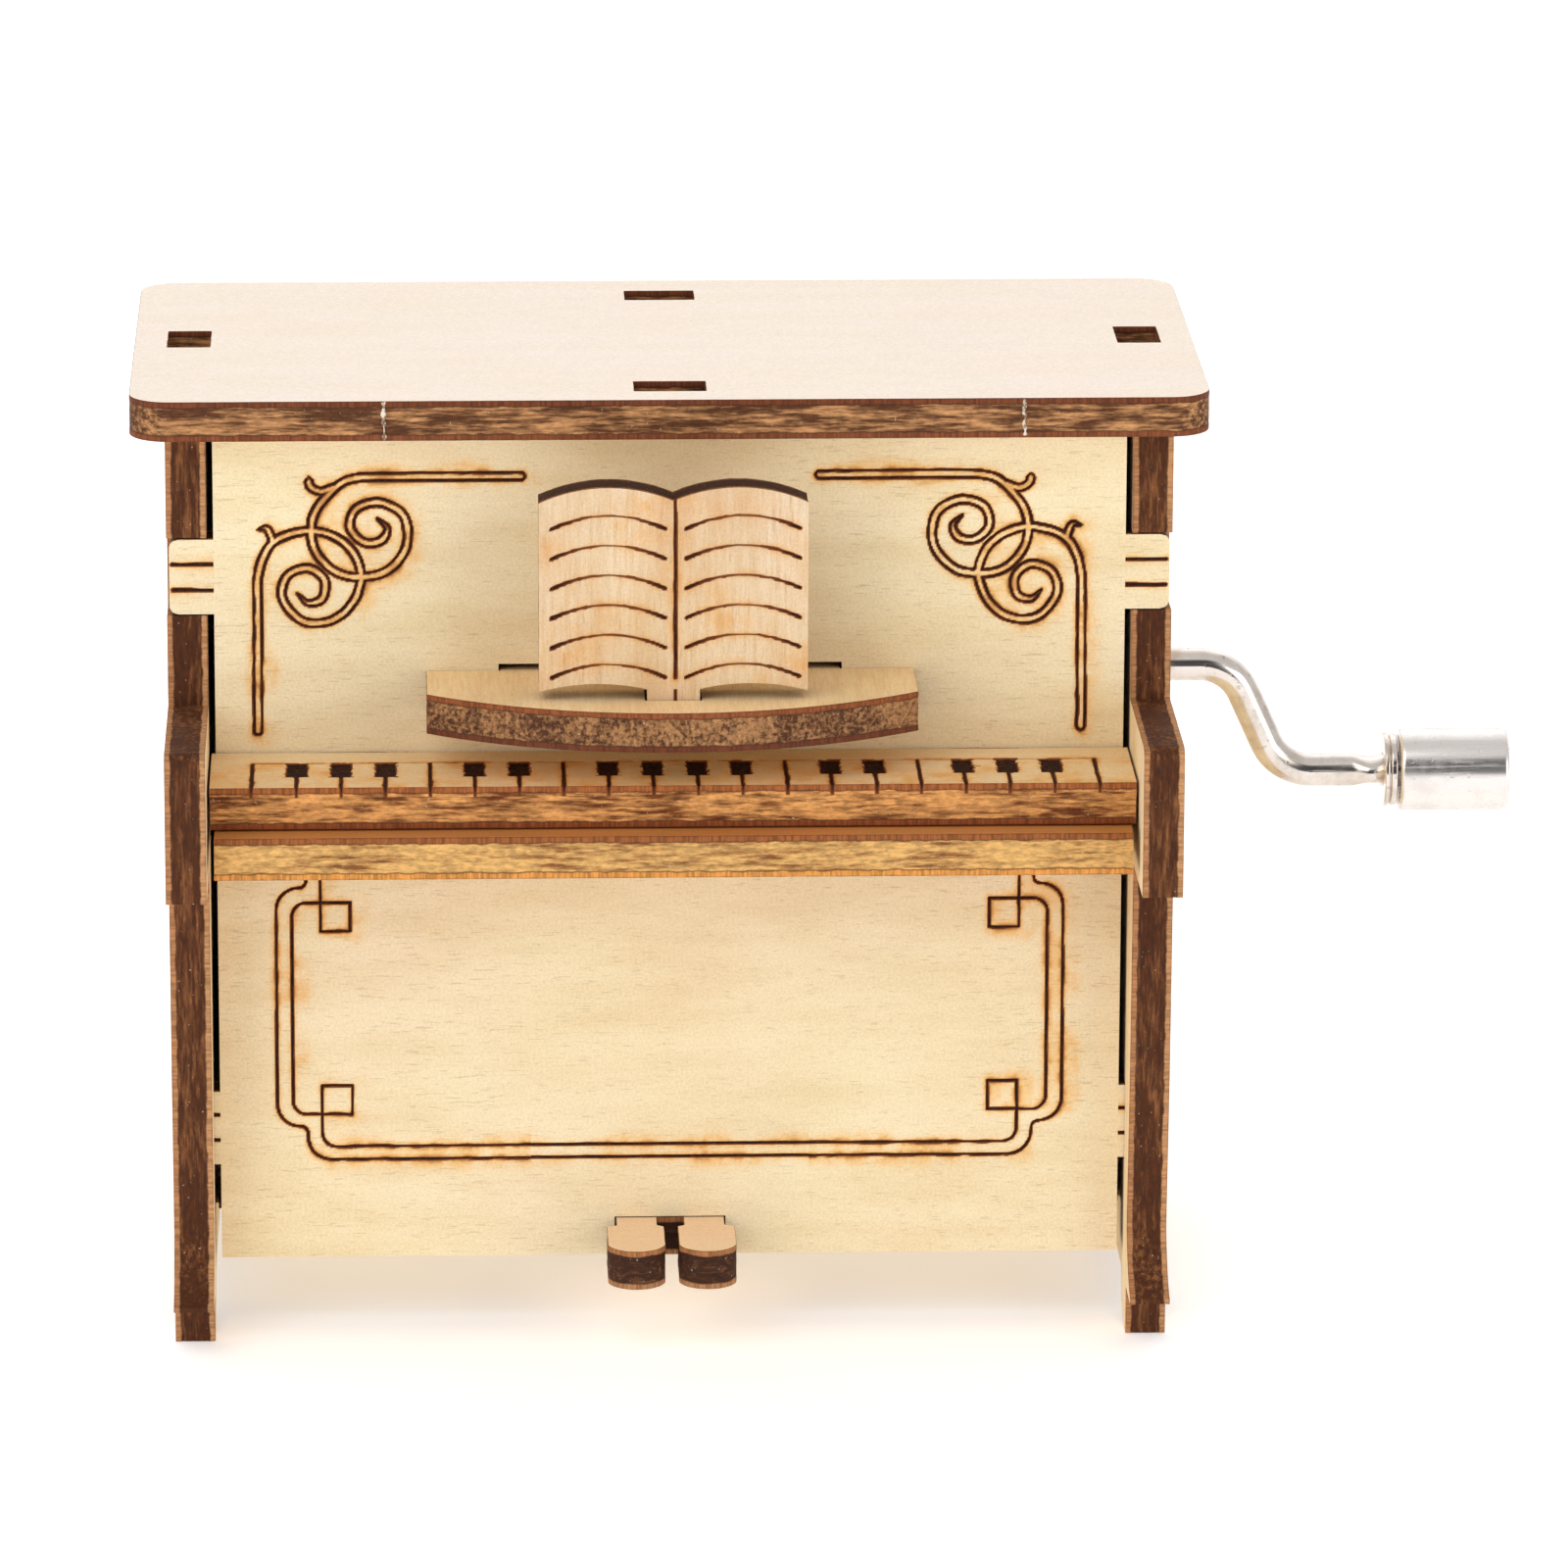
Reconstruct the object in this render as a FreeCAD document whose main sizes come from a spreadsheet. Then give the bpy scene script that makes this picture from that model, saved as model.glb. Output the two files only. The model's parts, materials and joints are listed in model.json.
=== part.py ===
import FreeCAD, Part
import math
import os
import Sketcher

# Hand-cranked music box in the form of an upright piano, cut from thin plywood.
# Millimetres. +Z is up. The origin is on the table, under the middle of the overall box.
# Inside this file the case has its own axes: X to the right from the middle of the case,
# Y backwards from the front face of the front panel, Z up from the table.

doc = FreeCAD.newDocument("PianoMusicBox")
sheet = doc.addObject("Spreadsheet::Sheet", "Dims")


class Size:
    """A number together with the spreadsheet expression that gives it."""

    def __init__(self, number, text):
        self.number = number
        self.text = text

    def __add__(self, other):
        other = size(other)
        return Size(self.number + other.number, f"({self.text} + {other.text})")

    def __sub__(self, other):
        other = size(other)
        return Size(self.number - other.number, f"({self.text} - {other.text})")

    def __mul__(self, other):
        other = size(other)
        return Size(self.number * other.number, f"({self.text} * {other.text})")

    def __truediv__(self, other):
        other = size(other)
        return Size(self.number / other.number, f"({self.text} / {other.text})")

    def __radd__(self, other):
        return size(other) + self

    def __rsub__(self, other):
        return size(other) - self

    def __rmul__(self, other):
        return size(other) * self

    def __neg__(self):
        return Size(-self.number, f"(-{self.text})")


def size(value):
    """A Size for a plain number or a Size."""
    if isinstance(value, Size):
        return value
    return Size(float(value), f"({value})" if value < 0 else str(value))


def sine(angle):
    return Size(math.sin(math.radians(angle.number)), f"sin({angle.text} * 1 deg)")


def cosine(angle):
    return Size(math.cos(math.radians(angle.number)), f"cos({angle.text} * 1 deg)")


def arctangent(ratio):
    return Size(math.degrees(math.atan(ratio.number)), f"atan({ratio.text})")


ROWS = []


def dim(alias, number):
    """Writes one driving dimension into the sheet and returns it as a Size."""
    ROWS.append(alias)
    row = len(ROWS)
    sheet.set(f"A{row}", alias)
    sheet.set(f"B{row}", str(number))
    sheet.setAlias(f"B{row}", alias)
    return Size(float(number), f"Dims.{alias}")


# ---------------------------------------------------------------- driving dimensions
ply = dim("ply", 3.0)
key_ply = dim("key_ply", 3.2)
fit_gap = dim("fit_gap", 0.1)
case_height = dim("case_height", 72.6)
case_width = dim("case_width", 74.8)
case_depth = dim("case_depth", 36.1)

lid_width = dim("lid_width", 80.0)
lid_depth = dim("lid_depth", 41.0)
lid_overhang = dim("lid_overhang", 3.0)
lid_corner = dim("lid_corner", 3.0)
tab_rise = dim("tab_rise", 1.8)
side_tab = dim("side_tab", 5.3)
panel_tab = dim("panel_tab", 5.1)

panel_gap = dim("panel_gap", 0.5)
panel_bottom = dim("panel_bottom", 5.5)
back_inset = dim("back_inset", 2.0)
ear_height = dim("ear_height", 5.7)
ear_corner = dim("ear_corner", 0.8)
ear_recess = dim("ear_recess", 0.2)
upper_ear_drop = dim("upper_ear_drop", 13.85)
lower_ear_rise = dim("lower_ear_rise", 7.4)

arm_top = dim("arm_top", 48.8)
arm_bottom = dim("arm_bottom", 37.45)
arm_reach = dim("arm_reach", 14.5)
arm_corner = dim("arm_corner", 1.0)
leg_top_reach = dim("leg_top_reach", 5.4)
leg_waist_reach = dim("leg_waist_reach", 4.7)
leg_waist_height = dim("leg_waist_height", 20.0)
ankle_reach = dim("ankle_reach", 3.5)
ankle_height = dim("ankle_height", 8.5)
toe_reach = dim("toe_reach", 7.8)
toe_edge = dim("toe_edge", 0.4)
toe_curve = dim("toe_curve", 7.0)
foot_height = dim("foot_height", 3.7)
foot_depth = dim("foot_depth", 5.3)
foot_sole = dim("foot_sole", 1.9)
foot_bevel_height = dim("foot_bevel_height", 1.2)
foot_bevel_depth = dim("foot_bevel_depth", 2.8)

board_gap = dim("board_gap", 0.2)
board_tab = dim("board_tab", 4.8)
board_tab_centre = dim("board_tab_centre", 23.6)
slot_slack = dim("slot_slack", 0.2)
keyboard_top = dim("keyboard_top", 45.1)
keyboard_reach = dim("keyboard_reach", 10.1)
keybed_gap = dim("keybed_gap", 0.15)
keybed_reach = dim("keybed_reach", 12.0)
keybed_end_gap = dim("keybed_end_gap", 0.5)

shelf_top = dim("shelf_top", 51.3)
shelf_width = dim("shelf_width", 36.4)
shelf_end_reach = dim("shelf_end_reach", 6.9)
shelf_radius = dim("shelf_radius", 31.0)
shelf_tab = dim("shelf_tab", 5.1)
shelf_tab_centre = dim("shelf_tab_centre", 10.15)
shelf_slot_slack = dim("shelf_slot_slack", 0.5)

book_width = dim("book_width", 19.8)
book_reach = dim("book_reach", 9.0)
book_foot_gap = dim("book_foot_gap", 0.7)
book_page = dim("book_page", 14.25)
book_spine_dip = dim("book_spine_dip", 0.15)
book_top_radius = dim("book_top_radius", 12.0)
book_foot_radius = dim("book_foot_radius", 16.0)
book_tab = dim("book_tab", 3.9)

floor_tab = dim("floor_tab", 4.0)
floor_tab_inset = dim("floor_tab_inset", 1.5)

notch_width = dim("notch_width", 8.4)
notch_height = dim("notch_height", 3.0)
pedal_drop = dim("pedal_drop", 0.1)
toe_width = dim("toe_width", 4.35)
toe_split = dim("toe_split", 1.0)
toe_shoulder = dim("toe_shoulder", 1.9)
shoulder_slope = dim("shoulder_slope", 0.3)
toe_straight = dim("toe_straight", 6.7)
toe_round = dim("toe_round", 2.25)
neck_split = dim("neck_split", 2.0)
pedal_root_width = dim("pedal_root_width", 18.0)
pedal_root_depth = dim("pedal_root_depth", 10.0)

crank_height = dim("crank_height", 47.9)
crank_hole = dim("crank_hole", 4.4)
wire_width = dim("wire_width", 2.5)
wire_run = dim("wire_run", 3.2)
wire_tail = dim("wire_tail", 0.4)
crank_throw = dim("crank_throw", 8.4)
crank_slope = dim("crank_slope", 65.5)
bend_radius = dim("bend_radius", 3.8)
grip_reach = dim("grip_reach", 18.85)
grip_length = dim("grip_length", 8.05)
grip_width = dim("grip_width", 6.3)
grip_bore_gap = dim("grip_bore_gap", 0.07)
grip_edge = dim("grip_edge", 0.4)
washer_width = dim("washer_width", 5.7)
washer_thick = dim("washer_thick", 0.45)
washer_gap = dim("washer_gap", 0.8)
swage_length = dim("swage_length", 2.2)
swage_width = dim("swage_width", 3.3)
swage_thick = dim("swage_thick", 1.1)
swage_edge = dim("swage_edge", 0.36)
rivet_width = dim("rivet_width", 4.0)
rivet_thick = dim("rivet_thick", 0.6)
rivet_play = dim("rivet_play", 0.2)
cap_width = dim("cap_width", 4.5)
cap_thick = dim("cap_thick", 0.6)
cap_recess = dim("cap_recess", 0.2)

gear_module = dim("gear_module", 0.6)
gear_teeth = dim("gear_teeth", 18)
gear_width = dim("gear_width", 3.0)
gear_gap_root = dim("gear_gap_root", 0.7)
gear_gap_tip = dim("gear_gap_tip", 1.3)
gear_root_gap = dim("gear_root_gap", 0.25)
worm_root_width = dim("worm_root_width", 3.4)
thread_root = dim("thread_root", 0.75)
thread_tip = dim("thread_tip", 0.4)
thread_turns = dim("thread_turns", 4)
thrust_gap = dim("thrust_gap", 0.3)
running_gap = dim("running_gap", 0.05)

drum_x = dim("drum_x", 12.0)
drum_width = dim("drum_width", 11.6)
drum_wall = dim("drum_wall", 0.6)
drum_length = dim("drum_length", 20.5)
drum_cap = dim("drum_cap", 1.8)
hub_width = dim("hub_width", 3.6)
gear_hub = dim("gear_hub", 1.9)
gear_collar = dim("gear_collar", 1.0)
cap_hub = dim("cap_hub", 0.9)
arbor_width = dim("arbor_width", 1.6)
arbor_end = dim("arbor_end", 0.8)
note_count = dim("note_count", 18)
note_pitch = dim("note_pitch", 1.05)
pin_width = dim("pin_width", 0.36)
pin_rise = dim("pin_rise", 0.55)
pin_depth = dim("pin_depth", 0.4)
pin_steps = dim("pin_steps", 72)
pins_per_note = dim("pins_per_note", 3)
note_step = dim("note_step", 7)
turn_step = dim("turn_step", 23)
mixed_step = dim("mixed_step", 5)

bedplate_left = dim("bedplate_left", 14.0)
bedplate_right = dim("bedplate_right", 24.0)
bedplate_low = dim("bedplate_low", 18.5)
bedplate_high = dim("bedplate_high", 54.5)
bedplate_thick = dim("bedplate_thick", 2.5)
wheel_gap = dim("wheel_gap", 1.4)
bedplate_corner = dim("bedplate_corner", 2.0)
post_width = dim("post_width", 7.0)
post_thick = dim("post_thick", 2.3)
post_front = dim("post_front", 4.0)
cheek_thick = dim("cheek_thick", 2.0)
cheek_height = dim("cheek_height", 6.0)
cheek_front = dim("cheek_front", 2.8)
worm_hub_length = dim("worm_hub_length", 14.4)

comb_thick = dim("comb_thick", 0.9)
comb_root = dim("comb_root", 9.0)
comb_tooth = dim("comb_tooth", 7.4)
comb_slit = dim("comb_slit", 0.25)
comb_pin_gap = dim("comb_pin_gap", 0.2)
comb_base_thick = dim("comb_base_thick", 3.0)
comb_screw_width = dim("comb_screw_width", 2.0)
comb_screw_pitch = dim("comb_screw_pitch", 10.5)
comb_screw_length = dim("comb_screw_length", 6.0)
comb_head_width = dim("comb_head_width", 3.6)
comb_head_thick = dim("comb_head_thick", 1.5)

screw_width = dim("screw_width", 2.4)
screw_length = dim("screw_length", 5.7)
screw_inset = dim("screw_inset", 3.3)
head_width = dim("head_width", 4.6)
head_thick = dim("head_thick", 1.5)
head_slot = dim("head_slot", 0.6)
flat_washer_width = dim("flat_washer_width", 5.6)
flat_washer_thick = dim("flat_washer_thick", 0.5)
doc.recompute()

# ---------------------------------------------------------------- worked-out places
lid_bottom = case_height - ply
side_inner = case_width / 2 - ply
panel_half = side_inner - panel_gap
ear_half = case_width / 2 - ear_recess
upper_ear = lid_bottom - upper_ear_drop
lower_ear = panel_bottom + lower_ear_rise
back_front = case_depth - back_inset - ply
keyboard_bottom = keyboard_top - key_ply
keybed_bottom = keyboard_bottom - keybed_gap - key_ply
shelf_bottom = shelf_top - ply
notch_top = panel_bottom + notch_height
pedal_top = notch_top - pedal_drop
pedal_bottom = pedal_top - ply
floor_bottom = pedal_top
lower_axis = crank_height - crank_throw

# The crank: a straight run out of the case, two equal bends with a slope between, a lower run.
bend_start = case_width / 2 + wire_run
bend_across = bend_radius * sine(crank_slope)
bend_down = bend_radius * (1 - cosine(crank_slope))
slope_down = crank_throw - 2 * bend_down
slope_across = slope_down * cosine(crank_slope) / sine(crank_slope)
bend_end = bend_start + 2 * bend_across + slope_across
grip_start = case_width / 2 + grip_reach
grip_end = grip_start + grip_length
washer_end = grip_start - washer_gap
washer_start = washer_end - washer_thick
counterbore_start = grip_end - cap_recess - cap_thick - 2 * rivet_play - rivet_thick

# The gear pair: the wheel clears the bedplate, and the crank is one centre distance in front of it.
gear_pitch = gear_module * gear_teeth / 2
gear_tip = gear_pitch + gear_module
worm_tip = worm_root_width / 2 + 2 * gear_module
worm_pitch = worm_root_width / 2 + gear_module
gear_root = gear_pitch - gear_module - gear_root_gap
thread_lead = gear_module * math.pi
drum_back = back_front - bedplate_thick - wheel_gap - gear_tip
crank_back = drum_back - gear_pitch - worm_pitch
gear_bottom = crank_height - gear_width / 2
drum_top = gear_bottom - gear_hub
drum_bottom = drum_top - drum_length
upper_post = gear_bottom + gear_width + gear_collar + thrust_gap
lower_post = drum_bottom - cap_hub - thrust_gap - post_thick
first_note = drum_bottom + (drum_length - (note_count - 1) * note_pitch) / 2

comb_half = note_count * note_pitch / 2
comb_middle = drum_bottom + drum_length / 2
comb_tip = drum_x - drum_width / 2 - pin_rise - comb_pin_gap
comb_line = comb_tip - comb_tooth
comb_end = comb_line - comb_root
comb_front = drum_back - comb_thick / 2
comb_base_front = comb_front + comb_thick
comb_seat = comb_base_front + comb_base_thick

# The overall box is centred on the origin.
body_x = (lid_width / 2 - grip_end) / 2
body_y = (arm_reach - (lid_depth - lid_overhang)) / 2

# ---------------------------------------------------------------- drawing helpers
NODES = []


def place(obj, x=0, y=0, z=0):
    """Binds an object's place, given in the case's own axes."""
    for axis, value in (("x", body_x + x), ("y", body_y + y), ("z", size(z))):
        obj.setExpression(f"Placement.Base.{axis}", value.text)


def node(obj, label):
    """Names an object as one sub-part."""
    obj.Label = label
    NODES.append(obj)
    return obj


def new_body(label, x=0, y=0, z=0):
    body = node(doc.addObject("PartDesign::Body", "Body_" + label), label)
    place(body, x, y, z)
    return body


def plane(body, role):
    return next(feature for feature in body.Origin.OriginFeatures if feature.Role == role)


def bind(sketch, kind, geometry, point, value):
    """Adds one dimension to a sketch and ties it to the sheet."""
    value = size(value)
    if kind == "Radius":
        index = sketch.addConstraint(Sketcher.Constraint(kind, geometry, value.number))
    else:
        index = sketch.addConstraint(Sketcher.Constraint(kind, geometry, point, value.number))
    if "Dims." in value.text:
        sketch.setExpression(f"Constraints[{index}]", value.text)


def bow(start, end, radius):
    """The arc of a given radius between two points: it turns left, or right if the radius is negative."""
    gap = end - start
    rise = math.sqrt(max(radius * radius - gap.Length**2 / 4, 0.0))
    side = FreeCAD.Vector(-gap.y, gap.x, 0).normalize() * math.copysign(rise, radius)
    centre = (start + end) / 2 + side
    first, last = (start, end) if radius > 0 else (end, start)
    angles = [math.atan2(p.y - centre.y, p.x - centre.x) for p in (first, last)]
    circle = Part.Circle(centre, FreeCAD.Vector(0, 0, 1), abs(radius))
    return Part.ArcOfCircle(circle, angles[0], angles[1])


def draw_path(sketch, points, closed):
    """Draws lines and arcs through points (across, up) or (across, up, radius of the arc that follows)."""
    vectors = [FreeCAD.Vector(size(p[0]).number, size(p[1]).number, 0) for p in points]
    count = len(points) if closed else len(points) - 1
    ends = []
    for i in range(count):
        start = vectors[i]
        end = vectors[(i + 1) % len(points)]
        radius = size(points[i][2]) if len(points[i]) > 2 else None
        if radius is None:
            index = sketch.addGeometry(Part.LineSegment(start, end), False)
            ends.append((index, 1, 2))
        else:
            index = sketch.addGeometry(bow(start, end, radius.number), False)
            ends.append((index, 1, 2) if radius.number > 0 else (index, 2, 1))
            bind(sketch, "Radius", index, 0, radius if radius.number > 0 else -radius)
    for i in range(count if closed else count - 1):
        after = ends[(i + 1) % count]
        sketch.addConstraint(Sketcher.Constraint("Coincident", ends[i][0], ends[i][2], after[0], after[1]))
    for i in range(count):
        bind(sketch, "DistanceX", ends[i][0], ends[i][1], points[i][0])
        bind(sketch, "DistanceY", ends[i][0], ends[i][1], points[i][1])
    if not closed:
        bind(sketch, "DistanceX", ends[-1][0], ends[-1][2], points[-1][0])
        bind(sketch, "DistanceY", ends[-1][0], ends[-1][2], points[-1][1])


def draw_circle(sketch, across, up, radius):
    centre = FreeCAD.Vector(size(across).number, size(up).number, 0)
    circle = Part.Circle(centre, FreeCAD.Vector(0, 0, 1), size(radius).number)
    index = sketch.addGeometry(circle, False)
    bind(sketch, "Radius", index, 0, radius)
    bind(sketch, "DistanceX", index, 3, across)
    bind(sketch, "DistanceY", index, 3, up)


def new_sketch(body, role, loops=(), circles=(), path=None, offset=None):
    """A sketch on one of the body's own planes, moved along its normal by offset."""
    sketch = body.newObject("Sketcher::SketchObject", body.Label + "_sketch")
    sketch.AttachmentSupport = [(plane(body, role), "")]
    sketch.MapMode = "FlatFace"
    if offset is not None:
        sketch.setExpression("AttachmentOffset.Base.z", size(offset).text)
    for loop in loops:
        draw_path(sketch, loop, True)
    for circle in circles:
        draw_circle(sketch, *circle)
    if path:
        draw_path(sketch, path, False)
    return sketch


def pad(body, sketch, length, backwards=False):
    feature = body.newObject("PartDesign::Pad", body.Label + "_pad")
    feature.Profile = sketch
    feature.Reversed = backwards
    feature.setExpression("Length", size(length).text)
    doc.recompute()
    return feature


def cut_through(body, sketch):
    """Cuts a sketch right through the body, both ways, and checks that something went."""
    before = body.Shape.Volume
    feature = body.newObject("PartDesign::Pocket", body.Label + "_pocket")
    feature.Profile = sketch
    feature.Type = "ThroughAll"
    feature.Midplane = True
    doc.recompute()
    if body.Shape.Volume >= before - 1e-6:
        raise RuntimeError(f"{body.Label}: a pocket cut nothing")
    return feature


def revolve(body, sketch, axis):
    feature = body.newObject("PartDesign::Revolution", body.Label + "_revolution")
    feature.Profile = sketch
    feature.ReferenceAxis = (sketch, [axis])
    feature.Angle = 360.0
    doc.recompute()
    return feature


def plate(label, role, loops, thickness, circles=(), x=0, y=0, z=0):
    """One piece cut out of sheet: an outline with its holes, as thick as the sheet.
    Upright plates across the case (XZ) grow backwards, the others along +X or +Z."""
    body = new_body(label, x, y, z)
    pad(body, new_sketch(body, role, loops, circles), thickness, role == "XZ_Plane")
    return body


def box_loop(left, bottom, right, top):
    return [(left, bottom), (right, bottom), (right, top), (left, top)]


def round_loop(left, bottom, right, top, radius):
    """A rectangle with four round corners."""
    r = size(radius)
    return [
        (left + r, bottom),
        (right - r, bottom, r),
        (right, bottom + r),
        (right, top - r, r),
        (right - r, top),
        (left + r, top, r),
        (left, top - r),
        (left, bottom + r, r),
    ]


def slot_loop(centre, width, low, high):
    """A slot for a tab, wider than the tab by the fit gap on each side."""
    half = width / 2 + fit_gap
    return box_loop(centre - half, low, centre + half, high)


def mirrored(points):
    """Closes a right-hand outline, given from bottom to top, with its mirror image."""
    left = []
    for i in range(len(points) - 1, -1, -1):
        radius = points[i - 1][2:] if i > 0 else ()
        left.append((-size(points[i][0]), points[i][1], *radius))
    return list(points) + left


def ear(low):
    """The outline of one ear that sticks out of a panel's right edge, from bottom to top."""
    high = low + ear_height
    return [
        (panel_half, low),
        (ear_half - ear_corner, low, ear_corner),
        (ear_half, low + ear_corner),
        (ear_half, high - ear_corner, ear_corner),
        (ear_half - ear_corner, high),
        (panel_half, high),
    ]


def panel_side():
    """The right-hand edge of the front or back panel, with both ears and half the top tab."""
    return [
        (panel_half, panel_bottom),
        *ear(lower_ear),
        *ear(upper_ear),
        (panel_half, lid_bottom),
        (panel_tab / 2, lid_bottom),
        (panel_tab / 2, lid_bottom + tab_rise),
    ]


# ---------------------------------------------------------------- plywood case
def make_lid():
    left = -lid_width / 2
    front = -lid_overhang
    side_centre = side_inner + ply / 2
    half_side = side_tab / 2 + fit_gap
    loops = [round_loop(left, front, -left, front + lid_depth, lid_corner)]
    for x in (-side_centre, side_centre):
        edge = ply / 2 + fit_gap
        loops.append(box_loop(x - edge, case_depth / 2 - half_side, x + edge, case_depth / 2 + half_side))
    for y in (size(0), back_front):
        loops.append(slot_loop(size(0), panel_tab, y - fit_gap, y + ply + fit_gap))
    plate("lid", "XY_Plane", loops, ply, z=lid_bottom)


def make_front_panel():
    """The keyboard's and the keybed's tabs share one slot, because a web between them would be a splinter."""
    loops = [mirrored([(notch_width / 2, notch_top), (notch_width / 2, panel_bottom), *panel_side()])]
    for side in (-1, 1):
        centre = board_tab_centre * side
        loops.append(slot_loop(centre, board_tab, keybed_bottom - fit_gap, keyboard_top + slot_slack))
        centre = shelf_tab_centre * side
        loops.append(slot_loop(centre, shelf_tab, shelf_bottom - fit_gap, shelf_top + shelf_slot_slack))
    plate("front_panel", "XZ_Plane", loops, ply)


def screw_places():
    left = screw_inset - bedplate_left
    low = bedplate_low + screw_inset
    return [(left, bedplate_high - screw_inset), (left, low), (bedplate_right - screw_inset, low)]


def make_back_panel():
    holes = [(x, z, screw_width / 2 + fit_gap) for x, z in screw_places()]
    outline = mirrored(panel_side())
    plate("back_panel", "XZ_Plane", [outline], ply, holes, y=back_front)


def side_outline():
    """The side panel seen from the right: feet, toe, leg, arm and upper post, front to the left."""
    middle = case_depth / 2
    ear_low = upper_ear - fit_gap
    ear_high = upper_ear + ear_height + fit_gap
    heel = foot_depth - ankle_reach
    rear_heel = case_depth - foot_depth
    return [
        (-ankle_reach, 0),
        (-ankle_reach + foot_sole, 0),
        (-ankle_reach + foot_sole + foot_bevel_depth, foot_bevel_height),
        (heel, foot_height),
        (rear_heel, foot_height),
        (case_depth - foot_sole - foot_bevel_depth, foot_bevel_height),
        (case_depth - foot_sole, 0),
        (case_depth, 0),
        (case_depth, lid_bottom),
        (middle + side_tab / 2, lid_bottom),
        (middle + side_tab / 2, lid_bottom + tab_rise),
        (middle - side_tab / 2, lid_bottom + tab_rise),
        (middle - side_tab / 2, lid_bottom),
        (0, lid_bottom),
        (0, ear_high),
        (ply + fit_gap, ear_high),
        (ply + fit_gap, ear_low),
        (0, ear_low),
        (0, arm_top),
        (-arm_reach + arm_corner, arm_top, arm_corner),
        (-arm_reach, arm_top - arm_corner),
        (-arm_reach, arm_bottom),
        (-leg_top_reach, arm_bottom),
        (-leg_waist_reach, leg_waist_height),
        (-ankle_reach, ankle_height, -toe_curve),
        (-toe_reach, foot_height + toe_edge),
        (-toe_reach, foot_height),
        (-ankle_reach, foot_height),
    ]


def make_side(label, left_face, circles):
    loops = [side_outline()]
    mortises = [(size(0), lower_ear), (back_front, lower_ear), (back_front, upper_ear)]
    for y, z in mortises:
        loops.append(box_loop(y - fit_gap, z - fit_gap, y + ply + fit_gap, z + ear_height + fit_gap))
    for y in floor_tab_places():
        top = floor_bottom + ply + fit_gap
        loops.append(box_loop(y - fit_gap, floor_bottom - fit_gap, y + floor_tab + fit_gap, top))
    plate(label, "YZ_Plane", loops, ply, circles, x=left_face)


def floor_tab_places():
    """Where the floor board's two tabs start on each side, front to back."""
    return [ply + floor_tab_inset, back_front - floor_tab_inset - floor_tab]


def make_floor_board():
    edge = side_inner - board_gap
    front = ply + fit_gap
    right = [(edge, front)]
    for y in floor_tab_places():
        right += [(edge, y), (ear_half, y), (ear_half, y + floor_tab), (edge, y + floor_tab)]
    right.append((edge, back_front - fit_gap))
    plate("floor_board", "XY_Plane", [mirrored(right)], ply, z=floor_bottom)


def board_loop(half, reach, tab, centre, depth):
    """A board that stands out of the front panel, with two tabs through it."""
    return mirrored(
        [
            (half, -reach),
            (half, 0),
            (centre + tab / 2, 0),
            (centre + tab / 2, depth),
            (centre - tab / 2, depth),
            (centre - tab / 2, 0),
        ]
    )


def make_keyboard():
    loop = board_loop(side_inner - board_gap, keyboard_reach, board_tab, board_tab_centre, ply)
    plate("keyboard", "XY_Plane", [loop], key_ply, z=keyboard_bottom)


def make_keybed():
    loop = board_loop(side_inner - keybed_end_gap, keybed_reach, board_tab, board_tab_centre, ply)
    plate("keybed", "XY_Plane", [loop], key_ply, z=keybed_bottom)


def make_music_shelf():
    half = shelf_width / 2
    loop = board_loop(half, shelf_end_reach, shelf_tab, shelf_tab_centre, ply)
    loop[-1] = (-half, -shelf_end_reach, shelf_radius)
    slot = slot_loop(size(0), book_tab, -book_reach - fit_gap, -book_reach + ply + fit_gap)
    plate("music_shelf", "XY_Plane", [loop, slot], ply, z=shelf_bottom)


def make_music_book():
    foot = shelf_top + book_foot_gap
    shoulder = foot + book_page
    half = book_width / 2
    right = [
        (book_tab / 2, shelf_bottom),
        (book_tab / 2, foot + book_spine_dip, -book_foot_radius),
        (half, foot),
        (half, shoulder, book_top_radius),
        (0, shoulder + book_spine_dip),
    ]
    loop = mirrored(right)
    loop.pop(len(right))
    loop[len(right) - 1] = (0, shoulder + book_spine_dip, book_top_radius)
    plate("music_book", "XZ_Plane", [loop], ply, y=-book_reach)


def make_pedals():
    outer = toe_split / 2 + toe_width
    inner = toe_split / 2
    neck_outer = notch_width / 2 - fit_gap
    neck_inner = neck_split / 2
    root = pedal_root_width / 2
    back = ply + fit_gap
    right = [
        (neck_inner, fit_gap),
        (neck_inner, -toe_shoulder),
        (inner, -toe_shoulder - shoulder_slope),
        (inner, -toe_straight, toe_round),
        (outer, -toe_straight),
        (outer, -toe_shoulder - shoulder_slope),
        (neck_outer, -toe_shoulder),
        (neck_outer, back),
        (root, back),
        (root, back + pedal_root_depth),
    ]
    plate("pedals", "XY_Plane", [mirrored(right)], ply, z=pedal_bottom)


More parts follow.
